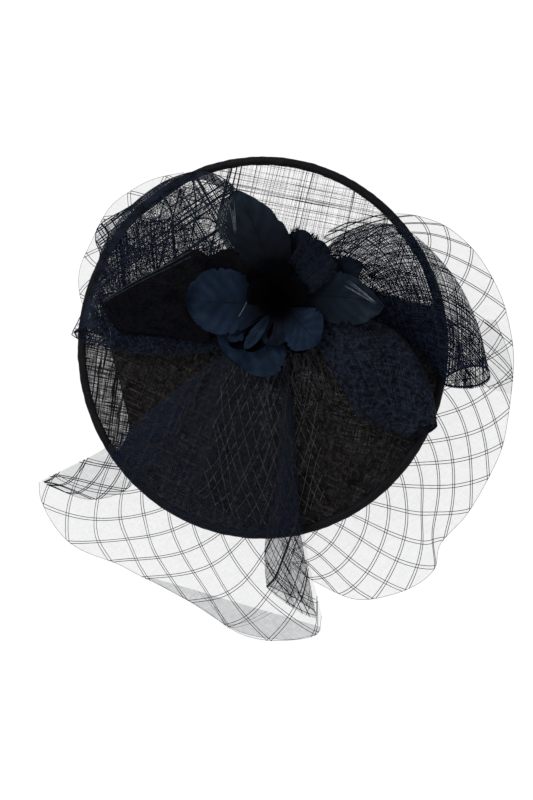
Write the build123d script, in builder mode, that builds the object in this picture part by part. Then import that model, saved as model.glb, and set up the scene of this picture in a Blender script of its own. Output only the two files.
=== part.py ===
from build123d import *
import math
import os

# Disc fascinator: a see-through woven disc with a wired and bound rim, dressed with a woven bow,
# horsehair veils, a net tuft and a feather flower, and held in the hair by a sprung clip.
# Millimetres. The origin is the middle of the rim's plane, +Z is the dressed side, +Y the back.

# ---- driving dimensions: disc and rim ----
DISC_DIAMETER = 305.0
DISC_RISE = 12.0
DISC_THICKNESS = 0.8
BINDING_WIDTH = 7.0
BINDING_THICKNESS = 4.4
WIRE_DIAMETER = 1.6
WIRE_INSET = 2.6
EDGE_TO_WIRE = 0.5
SEAT_CLEARANCE = 0.05

# ---- cloth layers: how far each lies above (+) or below (-) the disc's middle surface ----
CLOTH_THICKNESS = 0.8
CRIN_THICKNESS = 0.6
DRAPE_LIFT = 1.4
FRONT_VEIL_LIFT = 3.6
RIGHT_VEIL_LIFT = 3.2
NET_LIFT = 5.2
WING_LIFT = 8.0
UNDER_VEIL_LIFT = -5.0
BACK_VEIL_LIFT = UNDER_VEIL_LIFT
UNDER_VEIL_TACKS = [(84, -4), (76, -44), (70, -84), (62, -118)]
BACK_VEIL_TACKS = [(-112, 52), (-96, 72), (-80, 92)]

# ---- knot, flower ----
FLOWER_X = 26.0
FLOWER_Y = 35.5
KNOT_LENGTH = 30.0
KNOT_WIDTH = 26.0
KNOT_HEIGHT = 20.0
ROLL_WALL = 1.2
FLOWER_BASE_DIAMETER = 36.0
FLOWER_BASE_THICKNESS = 2.0
CORE_DIAMETER = 14.0
CORE_HEIGHT = 21.0
BOWL_RADIUS = 260.0
PETAL_THICKNESS = 0.9
ROOT_SHARE_OF_CORE = 0.314
TIER_PITCH = 3.0
TIER_START = 1.0
STEM_DIAMETER = 2.4
STEM_DEPTH_IN_CORE = 8.0
ANCHOR_DIAMETER = 14.0
ANCHOR_THICKNESS = 1.5

# ---- base pad and its felt cover ----
PAD_LENGTH = 88.0
PAD_WIDTH = 58.0
PAD_DEPTH = 6.0
FELT_THICKNESS = 1.5

# ---- hair clip ----
CLIP_LENGTH = 64.0
CLIP_WIDTH = 11.6
PLATE_THICKNESS = 1.0
EAR_THICKNESS = 0.8
EAR_LENGTH = 9.0
JAW_THICKNESS = 0.9
JAW_GAP_TO_EAR = 0.2
PIN_DIAMETER = 2.0
PIN_RUNNING_CLEARANCE = 0.05
PIN_HEAD_RIM = 0.5
PIN_HEAD_LENGTH = 0.8
PIN_DROP = 6.7
PIN_OFFSET = 8.0
JAW_TIP_GAP = 0.3
SPRING_WIRE = 0.8
COIL_CLEARANCE = 0.05
SPRING_TURNS = 4
SPRING_LEG = 13.0
LEG_CLEARANCE = 0.1
COIL_PITCH_TO_WIRE = 1.1
THREAD_DIAMETER = 0.8
PLATE_CORNER_RADIUS = 3.5
EAR_MARGIN = 1.0
JAW_EAR_WALL = 1.4
JAW_OVERHANG = 1.0
SPRING_TO_BELLY = 0.5
LEVER_OVERHANG = 3.0
LEVER_DROP = 2.4
TOOTH_COUNT = 3
TOOTH_SLOT_WIDTH = 1.2
TOOTH_SLOT_DEPTH = 4.0
FRONT_STITCH_X = -19.0
BACK_STITCH_X = 26.0

# Jaw curve: how far out from the pin's side each bend lies and how far down it has come by then.
JAW_NOSE = (0.62, 0.60)
JAW_BELLY = (0.20, 0.92)
LEVER_BEND = 0.62

# Feather outline: how far out along the feather each point lies, and its half width, as shares.
LEAF_WAIST = (0.42, 0.36)
LEAF_WIDEST = (0.72, 0.50)
LEAF_SHOULDER = (0.94, 0.27)
BOWL_OVERSIZE = 1.1

# Plan outlines are drawn for a disc of this diameter and follow the disc's real diameter, more and
# more over this distance out from the knot, where the cloth is held.
DRAWN_DIAMETER = 305.0
PLAN_SCALE = DISC_DIAMETER / DRAWN_DIAMETER
KNOT_TO_FREE_CLOTH = 60.0

# A prism from this height, this tall, holds the whole headpiece.
PRISM_FLOOR = -60.0
PRISM_HEIGHT = 180.0
SHEET_REACH_SHARE = 0.95

# ---- what follows from them ----
BINDING_RADIUS = DISC_DIAMETER / 2 - BINDING_WIDTH / 2
WIRE_RADIUS = DISC_DIAMETER / 2 - WIRE_INSET
EDGE_RADIUS = WIRE_RADIUS - WIRE_DIAMETER / 2 - EDGE_TO_WIRE
DOME_RADIUS = (EDGE_RADIUS**2 + DISC_RISE**2) / (2 * DISC_RISE)
DOME_CENTRE = DISC_RISE - DOME_RADIUS
SHEET_REACH = DISC_DIAMETER * SHEET_REACH_SHARE
DRAPE_REACH = DISC_DIAMETER / 2 - BINDING_WIDTH - SEAT_CLEARANCE
DRAPE_TOP = DRAPE_LIFT + CLOTH_THICKNESS / 2
TIP_LIFT = FRONT_VEIL_LIFT + CRIN_THICKNESS + SEAT_CLEARANCE
FLOWER_DISTANCE = math.hypot(FLOWER_X, FLOWER_Y)


def dome_height(radius, lift=0.0):
    """Height of the surface that lies `lift` off the disc's middle, at a distance from the axis."""
    return DOME_CENTRE + math.sqrt((DOME_RADIUS + lift) ** 2 - radius**2)


def plan_place(x, y):
    """Where a drawn plan point goes: as drawn by the knot, and with the disc's real size further out."""
    from_knot = math.hypot(x - FLOWER_X, y - FLOWER_Y) - KNOT_LENGTH
    follows = min(1.0, max(0.0, from_knot / KNOT_TO_FREE_CLOTH))
    grown = 1.0 + (PLAN_SCALE - 1.0) * follows
    return x * grown, y * grown


def flower_plane(height, azimuth=0.0):
    """A level plane on the flower's axis, with its X axis turned to an azimuth."""
    turn = math.radians(azimuth)
    return Plane((FLOWER_X, FLOWER_Y, height), (math.cos(turn), math.sin(turn), 0), (0, 0, 1))


KNOT_TOP = dome_height(FLOWER_DISTANCE, DRAPE_TOP) + KNOT_HEIGHT
FLOWER_BASE_TOP = KNOT_TOP + FLOWER_BASE_THICKNESS
PAD_BOTTOM = dome_height(0, -DISC_THICKNESS / 2) - PAD_DEPTH
FELT_BOTTOM = PAD_BOTTOM - FELT_THICKNESS
PLATE_BOTTOM = FELT_BOTTOM - PLATE_THICKNESS
PIN_HEIGHT = PLATE_BOTTOM - PIN_DROP
JAW_WIDTH = CLIP_WIDTH - 2 * EAR_THICKNESS - 2 * JAW_GAP_TO_EAR
SPRING_COIL_RADIUS = PIN_DIAMETER / 2 + COIL_CLEARANCE + SPRING_WIRE
PETAL_ROOT_WIDTH = CORE_DIAMETER * ROOT_SHARE_OF_CORE


def dome_band(low, high, reach, mode=Mode.ADD):
    """A shell between two lifts off the disc's middle surface, out to a radius."""
    with BuildSketch(Plane.XZ) as band:
        with BuildLine():
            Line((0, dome_height(0, low)), (0, dome_height(0, high)))
            ThreePointArc(
                (0, dome_height(0, high)),
                (reach / 2, dome_height(reach / 2, high)),
                (reach, dome_height(reach, high)),
            )
            Line((reach, dome_height(reach, high)), (reach, dome_height(reach, low)))
            ThreePointArc(
                (reach, dome_height(reach, low)),
                (reach / 2, dome_height(reach / 2, low)),
                (0, dome_height(0, low)),
            )
        make_face()
    revolve(band.sketch, axis=Axis.Z, mode=mode)


def under_dome(lift, mode=Mode.INTERSECT):
    """Everything below the surface that lies `lift` off the disc's middle."""
    with BuildSketch(Plane.XZ) as region:
        with BuildLine():
            Polyline(
                (SHEET_REACH, dome_height(SHEET_REACH, lift)),
                (SHEET_REACH, PRISM_FLOOR * 2),
                (0, PRISM_FLOOR * 2),
                (0, dome_height(0, lift)),
            )
            ThreePointArc(
                (0, dome_height(0, lift)),
                (SHEET_REACH / 2, dome_height(SHEET_REACH / 2, lift)),
                (SHEET_REACH, dome_height(SHEET_REACH, lift)),
            )
        make_face()
    revolve(region.sketch, axis=Axis.Z, mode=mode)


def knot_prism(mode=Mode.SUBTRACT):
    """The knot's outline, through the full height."""
    with BuildSketch(flower_plane(PRISM_FLOOR)) as knot_outline:
        Ellipse(KNOT_LENGTH / 2, KNOT_WIDTH / 2)
    extrude(knot_outline.sketch, amount=PRISM_HEIGHT, mode=mode)


def stem_bore():
    """The bore that the flower's stem passes through."""
    with BuildSketch(flower_plane(PRISM_FLOOR)) as bore_outline:
        Circle(STEM_DIAMETER / 2 + SEAT_CLEARANCE)
    extrude(bore_outline.sketch, amount=PRISM_HEIGHT, mode=Mode.SUBTRACT)


def cloth_sheet(lift, thickness, outline, tacked=True):
    """A sheet that follows the disc at a lift, cut to a smooth outline in plan."""
    dome_band(lift - thickness / 2, lift + thickness / 2, SHEET_REACH)
    with BuildSketch(Plane.XY.offset(PRISM_FLOOR)) as cut:
        with BuildLine():
            Spline(*[plan_place(x, y) for x, y in outline], periodic=True)
        make_face()
    extrude(cut.sketch, amount=PRISM_HEIGHT, mode=Mode.INTERSECT)
    if tacked:
        knot_prism()


def rolled_cloth(sections):
    """A roll of cloth, open at its ends. Each section: x, y, lift, width, depth, heading."""
    outer = []
    inner = []
    for x, y, lift, width, depth, heading in sections:
        place_x, place_y = plan_place(x, y)
        height = dome_height(math.hypot(place_x, place_y), lift) + depth / 2
        turn = math.radians(heading)
        plane = Plane(
            (place_x, place_y, height),
            (math.sin(turn), -math.cos(turn), 0),
            (math.cos(turn), math.sin(turn), 0),
        )
        with BuildSketch(plane) as outer_ring:
            Ellipse(width / 2, depth / 2)
        with BuildSketch(plane) as inner_ring:
            Ellipse(width / 2 - ROLL_WALL, depth / 2 - ROLL_WALL)
        outer.append(outer_ring.sketch)
        inner.append(inner_ring.sketch)
    loft(outer)
    loft(inner, mode=Mode.SUBTRACT)
    knot_prism()


def feather(tier, azimuth, length, width):
    """A feather of the flower: a leaf cut from its tier's bowl, meeting the core."""
    floor = FLOWER_BASE_TOP + TIER_START + tier * TIER_PITCH
    centre = floor + BOWL_RADIUS
    reach = length * BOWL_OVERSIZE
    top_radius = BOWL_RADIUS - PETAL_THICKNESS

    def low(radius):
        return centre - math.sqrt(BOWL_RADIUS**2 - radius**2)

    def high(radius):
        return centre - math.sqrt(top_radius**2 - radius**2)

    # The bowl's seam lies opposite the feather, so that it never crosses the leaf.
    seam = math.radians(azimuth + 180)
    section_plane = Plane(
        (FLOWER_X, FLOWER_Y, 0),
        (math.cos(seam), math.sin(seam), 0),
        (math.sin(seam), -math.cos(seam), 0),
    )
    with BuildSketch(section_plane) as bowl:
        with BuildLine():
            Line((0, low(0)), (0, high(0)))
            ThreePointArc((0, high(0)), (reach / 2, high(reach / 2)), (reach, high(reach)))
            Line((reach, high(reach)), (reach, low(reach)))
            ThreePointArc((reach, low(reach)), (reach / 2, low(reach / 2)), (0, low(0)))
        make_face()
    revolve(bowl.sketch, axis=Axis((FLOWER_X, FLOWER_Y, 0), (0, 0, 1)))
    root = CORE_DIAMETER / 2 - 2 * SEAT_CLEARANCE - PETAL_ROOT_WIDTH / 2
    root_side = PETAL_ROOT_WIDTH / 2
    one_side = [(root + root_side, root_side)]
    one_side += [(length * out, width * half) for out, half in (LEAF_WAIST, LEAF_WIDEST, LEAF_SHOULDER)]
    other_side = [(x, -y) for x, y in one_side]
    with BuildSketch(flower_plane(PRISM_FLOOR, azimuth)) as leaf:
        with BuildLine():
            Spline((root, 0), *other_side, (length, 0), *reversed(one_side), periodic=True)
        make_face()
    extrude(leaf.sketch, amount=PRISM_HEIGHT, mode=Mode.INTERSECT)
    with BuildSketch(flower_plane(PRISM_FLOOR)) as core_outline:
        Circle(CORE_DIAMETER / 2)
    extrude(core_outline.sketch, amount=PRISM_HEIGHT, mode=Mode.SUBTRACT)


def save(builder, name):
    builder.part.label = name
    export_step(builder.part, f"parts/{name}.step")


os.makedirs("parts", exist_ok=True)

# ---------------- disc and rim ----------------

with BuildPart() as sinamay_disc:
    dome_band(-DISC_THICKNESS / 2, DISC_THICKNESS / 2, EDGE_RADIUS)
    stem_bore()
save(sinamay_disc, "sinamay_disc")

with BuildPart() as rim_wire:
    with BuildSketch(Plane.XZ):
        with Locations((WIRE_RADIUS, 0)):
            Circle(WIRE_DIAMETER / 2)
    revolve(axis=Axis.Z)
save(rim_wire, "rim_wire")

with BuildPart() as rim_binding:
    with BuildSketch(Plane.XZ):
        with Locations((BINDING_RADIUS, 0)):
            Ellipse(BINDING_WIDTH / 2, BINDING_THICKNESS / 2)
        with Locations((WIRE_RADIUS, 0)):
            Circle(WIRE_DIAMETER / 2 + SEAT_CLEARANCE, mode=Mode.SUBTRACT)
    revolve(axis=Axis.Z)
    dome_band(
        -DISC_THICKNESS / 2 - SEAT_CLEARANCE,
        DISC_THICKNESS / 2 + SEAT_CLEARANCE,
        EDGE_RADIUS + SEAT_CLEARANCE,
        mode=Mode.SUBTRACT,
    )
save(rim_binding, "rim_binding")

# The second woven layer covers the front two thirds of the disc, inside the binding.
with BuildPart() as lower_drape:
    dome_band(DRAPE_LIFT - CLOTH_THICKNESS / 2, DRAPE_LIFT + CLOTH_THICKNESS / 2, DRAPE_REACH)
    with BuildSketch(Plane.XY.offset(PRISM_FLOOR)):
        with BuildLine():
            FilletPolyline(
                (-122 * PLAN_SCALE, 8 * PLAN_SCALE),
                (-112 * PLAN_SCALE, -42 * PLAN_SCALE),
                (-104 * PLAN_SCALE, -66 * PLAN_SCALE),
                (-150 * PLAN_SCALE, -170 * PLAN_SCALE),
                (170 * PLAN_SCALE, -170 * PLAN_SCALE),
                (170 * PLAN_SCALE, 28 * PLAN_SCALE),
                (60 * PLAN_SCALE, 66 * PLAN_SCALE),
                (-40 * PLAN_SCALE, 74 * PLAN_SCALE),
                radius=6,
                close=True,
            )
        make_face()
    extrude(amount=PRISM_HEIGHT, mode=Mode.INTERSECT)
    stem_bore()
save(lower_drape, "lower_drape")

# ---------------- knot, bow ----------------

with BuildPart() as knot_binding:
    with BuildSketch(flower_plane(PRISM_FLOOR)):
        Ellipse(KNOT_LENGTH / 2, KNOT_WIDTH / 2)
    extrude(amount=KNOT_TOP - PRISM_FLOOR)
    under_dome(DRAPE_TOP, mode=Mode.SUBTRACT)
    stem_bore()
save(knot_binding, "knot_binding")

with BuildPart() as left_wing:
    cloth_sheet(
        WING_LIFT,
        CLOTH_THICKNESS,
        [
            (16, 36),
            (8, 66),
            (-10, 92),
            (-14, 124),
            (-43, 141),
            (-75, 134),
            (-105, 115),
            (-130, 102),
            (-136, 88),
            (-133, 70),
            (-140, 44),
            (-152, 15),
            (-132, 5),
            (-100, 2),
            (-40, 8),
        ],
    )
save(left_wing, "left_wing")

with BuildPart() as left_fold:
    rolled_cloth(
        [
            (13, 38, 12.0, 16, 8, 176),
            (-38, 42, 11.5, 74, 14, 186),
            (-119, 26, 9.6, 29, 10, 204),
        ]
    )
save(left_fold, "left_fold")

with BuildPart() as right_cone:
    rolled_cloth(
        [
            (37, 39, 5.2, 12, 7, 4),
            (106, 56, 6.0, 80, 16, -12),
            (156, 10, 6.0, 48, 16, -52),
            (168, -27, 5.0, 38, 15, -80),
        ]
    )
save(right_cone, "right_cone")

with BuildPart() as right_fold:
    rolled_cloth(
        [
            (36, 26, 13.0, 12, 7, -41),
            (84, 0, 22.0, 58, 12, -26),
            (111, -18, 23.0, 78, 14, -38),
            (133, -42, 16.0, 56, 12, -50),
            (146, -58, 9.0, 28, 10, -68),
        ]
    )
save(right_fold, "right_fold")

# ---------------- veils ----------------

with BuildPart() as front_veil:
    cloth_sheet(
        FRONT_VEIL_LIFT,
        CRIN_THICKNESS,
        [
            (22, 20),
            (-27, -8),
            (-74, -40),
            (-125, -79),
            (-160, -98),
            (-188, -111),
            (-190, -124),
            (-172, -155),
            (-144, -170),
            (-110, -182),
            (-74, -199),
            (-48, -213),
            (-15, -233),
            (18, -236),
            (44, -230),
            (49, -216),
            (40, -150),
            (36, -60),
        ],
    )
save(front_veil, "front_veil")

with BuildPart() as front_veil_tip:
    cloth_sheet(
        TIP_LIFT,
        CRIN_THICKNESS,
        [
            (-58, -34),
            (-124, -80),
            (-158, -97),
            (-184, -110),
            (-174, -113),
            (-146, -122),
            (-122, -119),
            (-98, -106),
            (-56, -62),
        ],
        tacked=False,
    )
save(front_veil_tip, "front_veil_tip")

with BuildPart() as front_pleat:
    rolled_cloth(
        [
            (27, 26, 8.0, 9, 6, -90),
            (27, -48, 7.2, 10, 6, -90),
            (24, -150, 6.6, 30, 13, -89),
            (28, -207, 5.2, 44, 14, -98),
        ]
    )
save(front_pleat, "front_pleat")

with BuildPart() as right_veil:
    cloth_sheet(
        RIGHT_VEIL_LIFT,
        CRIN_THICKNESS,
        [
            (32, 48),
            (52, 88),
            (66, 97),
            (85, 102),
            (113, 105),
            (136, 101),
            (156, 91),
            (176, 71),
            (191, 45),
            (199, 20),
            (203, -8),
            (200, -34),
            (176, -42),
            (152, -28),
            (112, 8),
            (66, 28),
        ],
    )
save(right_veil, "right_veil")

with BuildPart() as under_veil:
    cloth_sheet(
        UNDER_VEIL_LIFT,
        CRIN_THICKNESS,
        [
            (70, 10),
            (110, 26),
            (154, 28),
            (182, 10),
            (199, -12),
            (199, -40),
            (194, -70),
            (184, -98),
            (164, -131),
            (143, -155),
            (137, -175),
            (119, -191),
            (86, -200),
            (60, -196),
            (42, -184),
            (22, -150),
            (28, -100),
            (52, -50),
        ],
        tacked=False,
    )
save(under_veil, "under_veil")

with BuildPart() as back_veil:
    cloth_sheet(
        BACK_VEIL_LIFT,
        CRIN_THICKNESS,
        [
            (-64, 142),
            (-89, 137),
            (-110, 128),
            (-127, 116),
            (-142, 91),
            (-153, 66),
            (-154, 46),
            (-147, 30),
            (-116, 36),
            (-78, 64),
            (-54, 104),
        ],
        tacked=False,
    )
save(back_veil, "back_veil")

# Thread tacks hold the two veils that lie behind the disc.
with BuildPart() as veil_tacks:
    dome_band(
        UNDER_VEIL_LIFT + CRIN_THICKNESS / 2 + SEAT_CLEARANCE,
        -DISC_THICKNESS / 2 - SEAT_CLEARANCE,
        EDGE_RADIUS,
    )
    with BuildSketch(Plane.XY.offset(PRISM_FLOOR)):
        with Locations(*[plan_place(x, y) for x, y in UNDER_VEIL_TACKS + BACK_VEIL_TACKS]):
            Circle(THREAD_DIAMETER / 2)
    extrude(amount=PRISM_HEIGHT, mode=Mode.INTERSECT)
save(veil_tacks, "veil_tacks")

with BuildPart() as net_tuft:
    cloth_sheet(
        NET_LIFT,
        CLOTH_THICKNESS,
        [
            (20, 22),
            (-16, -6),
            (-38, -50),
            (-44, -84),
            (-38, -112),
            (6, -128),
            (46, -118),
            (56, -60),
            (44, -6),
        ],
    )
save(net_tuft, "net_tuft")

# ---------------- feather flower ----------------

with BuildPart() as flower_base:
    with BuildSketch(flower_plane(KNOT_TOP)):
        Circle(FLOWER_BASE_DIAMETER / 2)
        Circle(STEM_DIAMETER / 2 + SEAT_CLEARANCE, mode=Mode.SUBTRACT)
    extrude(amount=FLOWER_BASE_THICKNESS)
save(flower_base, "flower_base")

with BuildPart() as flower_core:
    with BuildSketch(flower_plane(FLOWER_BASE_TOP)):
        Circle(CORE_DIAMETER / 2)
    extrude(amount=CORE_HEIGHT)
    fillet(flower_core.edges().group_by(Axis.Z)[-1], radius=CORE_DIAMETER * 0.4)
    with BuildSketch(flower_plane(FLOWER_BASE_TOP)):
        Circle(STEM_DIAMETER / 2 + SEAT_CLEARANCE)
    extrude(amount=STEM_DEPTH_IN_CORE, mode=Mode.SUBTRACT)
save(flower_core, "flower_core")

STEM_BOTTOM = dome_height(FLOWER_DISTANCE, -DISC_THICKNESS / 2) - ANCHOR_THICKNESS
with BuildPart() as flower_stem:
    with BuildSketch(flower_plane(STEM_BOTTOM)):
        Circle(STEM_DIAMETER / 2)
    extrude(amount=FLOWER_BASE_TOP + STEM_DEPTH_IN_CORE - STEM_BOTTOM)
save(flower_stem, "flower_stem")

with BuildPart() as stem_anchor:
    dome_band(-DISC_THICKNESS / 2 - ANCHOR_THICKNESS, -DISC_THICKNESS / 2, FLOWER_DISTANCE * 2)
    with BuildSketch(flower_plane(PRISM_FLOOR)):
        Circle(ANCHOR_DIAMETER / 2)
    extrude(amount=PRISM_HEIGHT, mode=Mode.INTERSECT)
    stem_bore()
save(stem_anchor, "stem_anchor")

# Each feather: name, tier above the base, azimuth, length from the axis, width.
FEATHERS = [
    ("petal_front_wide", 0, -124, 59, 50),
    ("petal_back_low", 0, 16, 76, 30),
    ("petal_top_light", 0, 115, 86, 32),
    ("fringe_tall", 0, 66, 62, 26),
    ("petal_front_right", 1, -60, 42, 28),
    ("petal_left_dark", 1, 148, 64, 42),
    ("petal_back_right", 1, 33, 56, 28),
    ("petal_left_curl", 1, -139, 46, 13),
    ("petal_left_round", 2, 179, 69, 51),
    ("petal_right_long", 2, 4, 87, 40),
    ("petal_top", 2, 101, 86, 40),
    ("petal_front_mid", 2, -93, 40, 26),
    ("fringe_right", 2, 52, 62, 24),
    ("petal_right_low", 3, -43, 49, 36),
    ("petal_small_curl", 3, -126, 42, 11),
    ("fringe_short", 3, 40, 60, 22),
    ("petal_inner_back", 4, 92, 46, 38),
    ("petal_inner_left", 5, 150, 40, 26),
    ("petal_inner_right", 5, 38, 40, 26),
]
for name, tier, azimuth, length, width in FEATHERS:
    with BuildPart() as one_feather:
        feather(tier, azimuth, length, width)
    save(one_feather, name)

# ---------------- base pad and felt cover, under the disc ----------------

with BuildPart() as base_pad:
    with BuildSketch(Plane.XY.offset(PAD_BOTTOM)):
        Ellipse(PAD_LENGTH / 2, PAD_WIDTH / 2)
    extrude(amount=PAD_DEPTH * 2)
    under_dome(-DISC_THICKNESS / 2)
save(base_pad, "base_pad")

with BuildPart() as felt_cover:
    with BuildSketch(Plane.XY.offset(FELT_BOTTOM)):
        Ellipse(PAD_LENGTH / 2 + FELT_THICKNESS, PAD_WIDTH / 2 + FELT_THICKNESS)
    extrude(amount=PAD_DEPTH * 2)
    with BuildSketch(Plane.XY.offset(PAD_BOTTOM)):
        Ellipse(PAD_LENGTH / 2, PAD_WIDTH / 2)
    extrude(amount=PAD_DEPTH * 2, mode=Mode.SUBTRACT)
    under_dome(-DISC_THICKNESS / 2)
save(felt_cover, "felt_cover")

# ---------------- hair clip ----------------
# The upper jaw is sewn under the felt; the lower jaw turns on the pin.

PIN_LENGTH = CLIP_WIDTH + 2 * PIN_HEAD_LENGTH


def pin_plane(offset):
    """An upright plane across the pin, at a distance along it, with its normal along +Y."""
    return Plane((PIN_OFFSET, offset, PIN_HEIGHT), (-1, 0, 0), (0, 1, 0))


with BuildPart() as clip_upper_jaw:
    with BuildSketch(Plane.XY.offset(PLATE_BOTTOM)):
        RectangleRounded(CLIP_LENGTH, CLIP_WIDTH, PLATE_CORNER_RADIUS)
    extrude(amount=PLATE_THICKNESS)
    for side in (-1, 1):
        ear_inside = side * (CLIP_WIDTH / 2 - EAR_THICKNESS)
        with BuildSketch(pin_plane(ear_inside)):
            Circle(EAR_LENGTH / 2 - EAR_MARGIN)
            with Locations((0, (PIN_DROP + PLATE_THICKNESS / 2) / 2)):
                Rectangle(EAR_LENGTH - 2 * EAR_MARGIN, PIN_DROP + PLATE_THICKNESS / 2)
            Circle(PIN_DIAMETER / 2, mode=Mode.SUBTRACT)
        extrude(amount=side * EAR_THICKNESS)
save(clip_upper_jaw, "clip_upper_jaw")

# The lower jaw's upper face in side view, from the toothed tip to the thumb end of the lever.
TIP_X = -CLIP_LENGTH / 2 - JAW_OVERHANG
TIP_Z = PLATE_BOTTOM - JAW_TIP_GAP
BELLY_Z = PIN_HEIGHT - SPRING_COIL_RADIUS - SPRING_WIRE / 2 - SPRING_TO_BELLY
LEVER_X = CLIP_LENGTH / 2 + LEVER_OVERHANG
LEVER_Z = BELLY_Z - LEVER_DROP
JAW_EAR_RADIUS = PIN_DIAMETER / 2 + JAW_EAR_WALL

with BuildPart() as clip_lower_jaw:
    with BuildSketch(Plane.XZ.offset(-JAW_WIDTH / 2)):
        with BuildLine():
            top = [
                (TIP_X, TIP_Z),
                (TIP_X * JAW_NOSE[0], TIP_Z + (BELLY_Z - TIP_Z) * JAW_NOSE[1]),
                (TIP_X * JAW_BELLY[0], TIP_Z + (BELLY_Z - TIP_Z) * JAW_BELLY[1]),
                (PIN_OFFSET, BELLY_Z),
                (LEVER_X * LEVER_BEND, (BELLY_Z + LEVER_Z) / 2),
                (LEVER_X, LEVER_Z),
            ]
            bottom = [(x, z - JAW_THICKNESS) for x, z in top]
            Spline(*top)
            Line(top[-1], bottom[-1])
            Spline(*reversed(bottom))
            Line(bottom[0], top[0])
        make_face()
    extrude(amount=JAW_WIDTH)
    for side in (-1, 1):
        with BuildSketch(pin_plane(side * (JAW_WIDTH / 2 - EAR_THICKNESS))):
            Circle(JAW_EAR_RADIUS)
            with Locations((0, (BELLY_Z - JAW_THICKNESS / 2 - PIN_HEIGHT) / 2)):
                Rectangle(JAW_EAR_RADIUS * 2, PIN_HEIGHT - BELLY_Z + JAW_THICKNESS / 2)
            Circle(PIN_DIAMETER / 2 + PIN_RUNNING_CLEARANCE, mode=Mode.SUBTRACT)
        extrude(amount=side * EAR_THICKNESS)
    with BuildSketch(Plane.XY.offset(TIP_Z)):
        with Locations((TIP_X, 0)):
            with GridLocations(0, TOOTH_SLOT_WIDTH * 2, 1, TOOTH_COUNT):
                Rectangle(TOOTH_SLOT_DEPTH * 2, TOOTH_SLOT_WIDTH)
    extrude(amount=-PIN_DROP, mode=Mode.SUBTRACT)
save(clip_lower_jaw, "clip_lower_jaw")

with BuildPart() as clip_pin:
    with BuildSketch(pin_plane(-PIN_LENGTH / 2)):
        Circle(PIN_DIAMETER / 2)
    extrude(amount=PIN_LENGTH)
    for side in (-1, 1):
        with BuildSketch(pin_plane(side * CLIP_WIDTH / 2)):
            Circle(PIN_DIAMETER / 2 + PIN_HEAD_RIM)
        extrude(amount=side * PIN_HEAD_LENGTH)
save(clip_pin, "clip_pin")

SPRING_HALF = SPRING_WIRE * COIL_PITCH_TO_WIRE * SPRING_TURNS / 2

with BuildPart() as clip_spring:
    with BuildLine() as coil:
        Helix(
            pitch=2 * SPRING_HALF / SPRING_TURNS,
            height=2 * SPRING_HALF,
            radius=SPRING_COIL_RADIUS - SPRING_WIRE / 2,
            center=(PIN_OFFSET, -SPRING_HALF, PIN_HEIGHT),
            direction=(0, 1, 0),
        )
    with BuildSketch(Plane(origin=coil.line @ 0, z_dir=coil.line % 0)):
        Circle(SPRING_WIRE / 2)
    sweep(path=coil.line, is_frenet=True)
    leg_side = SPRING_HALF - SPRING_WIRE / 2
    leg_rise = SPRING_COIL_RADIUS - SPRING_WIRE / 2
    lever_top = BELLY_Z + (LEVER_Z - BELLY_Z) * SPRING_LEG / (LEVER_X - PIN_OFFSET)
    legs = [
        (leg_side, leg_rise, PLATE_BOTTOM - SPRING_WIRE / 2 - LEG_CLEARANCE),
        (-leg_side, -leg_rise, lever_top + SPRING_WIRE / 2 + LEG_CLEARANCE),
    ]
    for leg_y, rise, far_height in legs:
        start = Vector(PIN_OFFSET, leg_y, PIN_HEIGHT + rise)
        direction = Vector(PIN_OFFSET + SPRING_LEG, leg_y, far_height) - start
        with BuildSketch(Plane(origin=start, z_dir=direction)):
            Circle(SPRING_WIRE / 2)
        extrude(amount=direction.length)
save(clip_spring, "clip_spring")

# Two thread loops hold the upper jaw: a bar across under the plate and a leg up each side.
with BuildPart() as clip_stitches:
    reach = CLIP_WIDTH / 2 + THREAD_DIAMETER / 2
    for place in (FRONT_STITCH_X, BACK_STITCH_X):
        with BuildSketch(Plane.XY.offset(FELT_BOTTOM)):
            with Locations((place, -reach), (place, reach)):
                Circle(THREAD_DIAMETER / 2)
        extrude(amount=-PLATE_THICKNESS - THREAD_DIAMETER)
        with BuildSketch(Plane.XZ.offset(-reach)):
            with Locations((place, PLATE_BOTTOM - THREAD_DIAMETER / 2)):
                Circle(THREAD_DIAMETER / 2)
        extrude(amount=2 * reach)
save(clip_stitches, "clip_stitches")
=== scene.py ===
import math
import bpy
import numpy as np
from mathutils import Matrix, Vector


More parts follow.
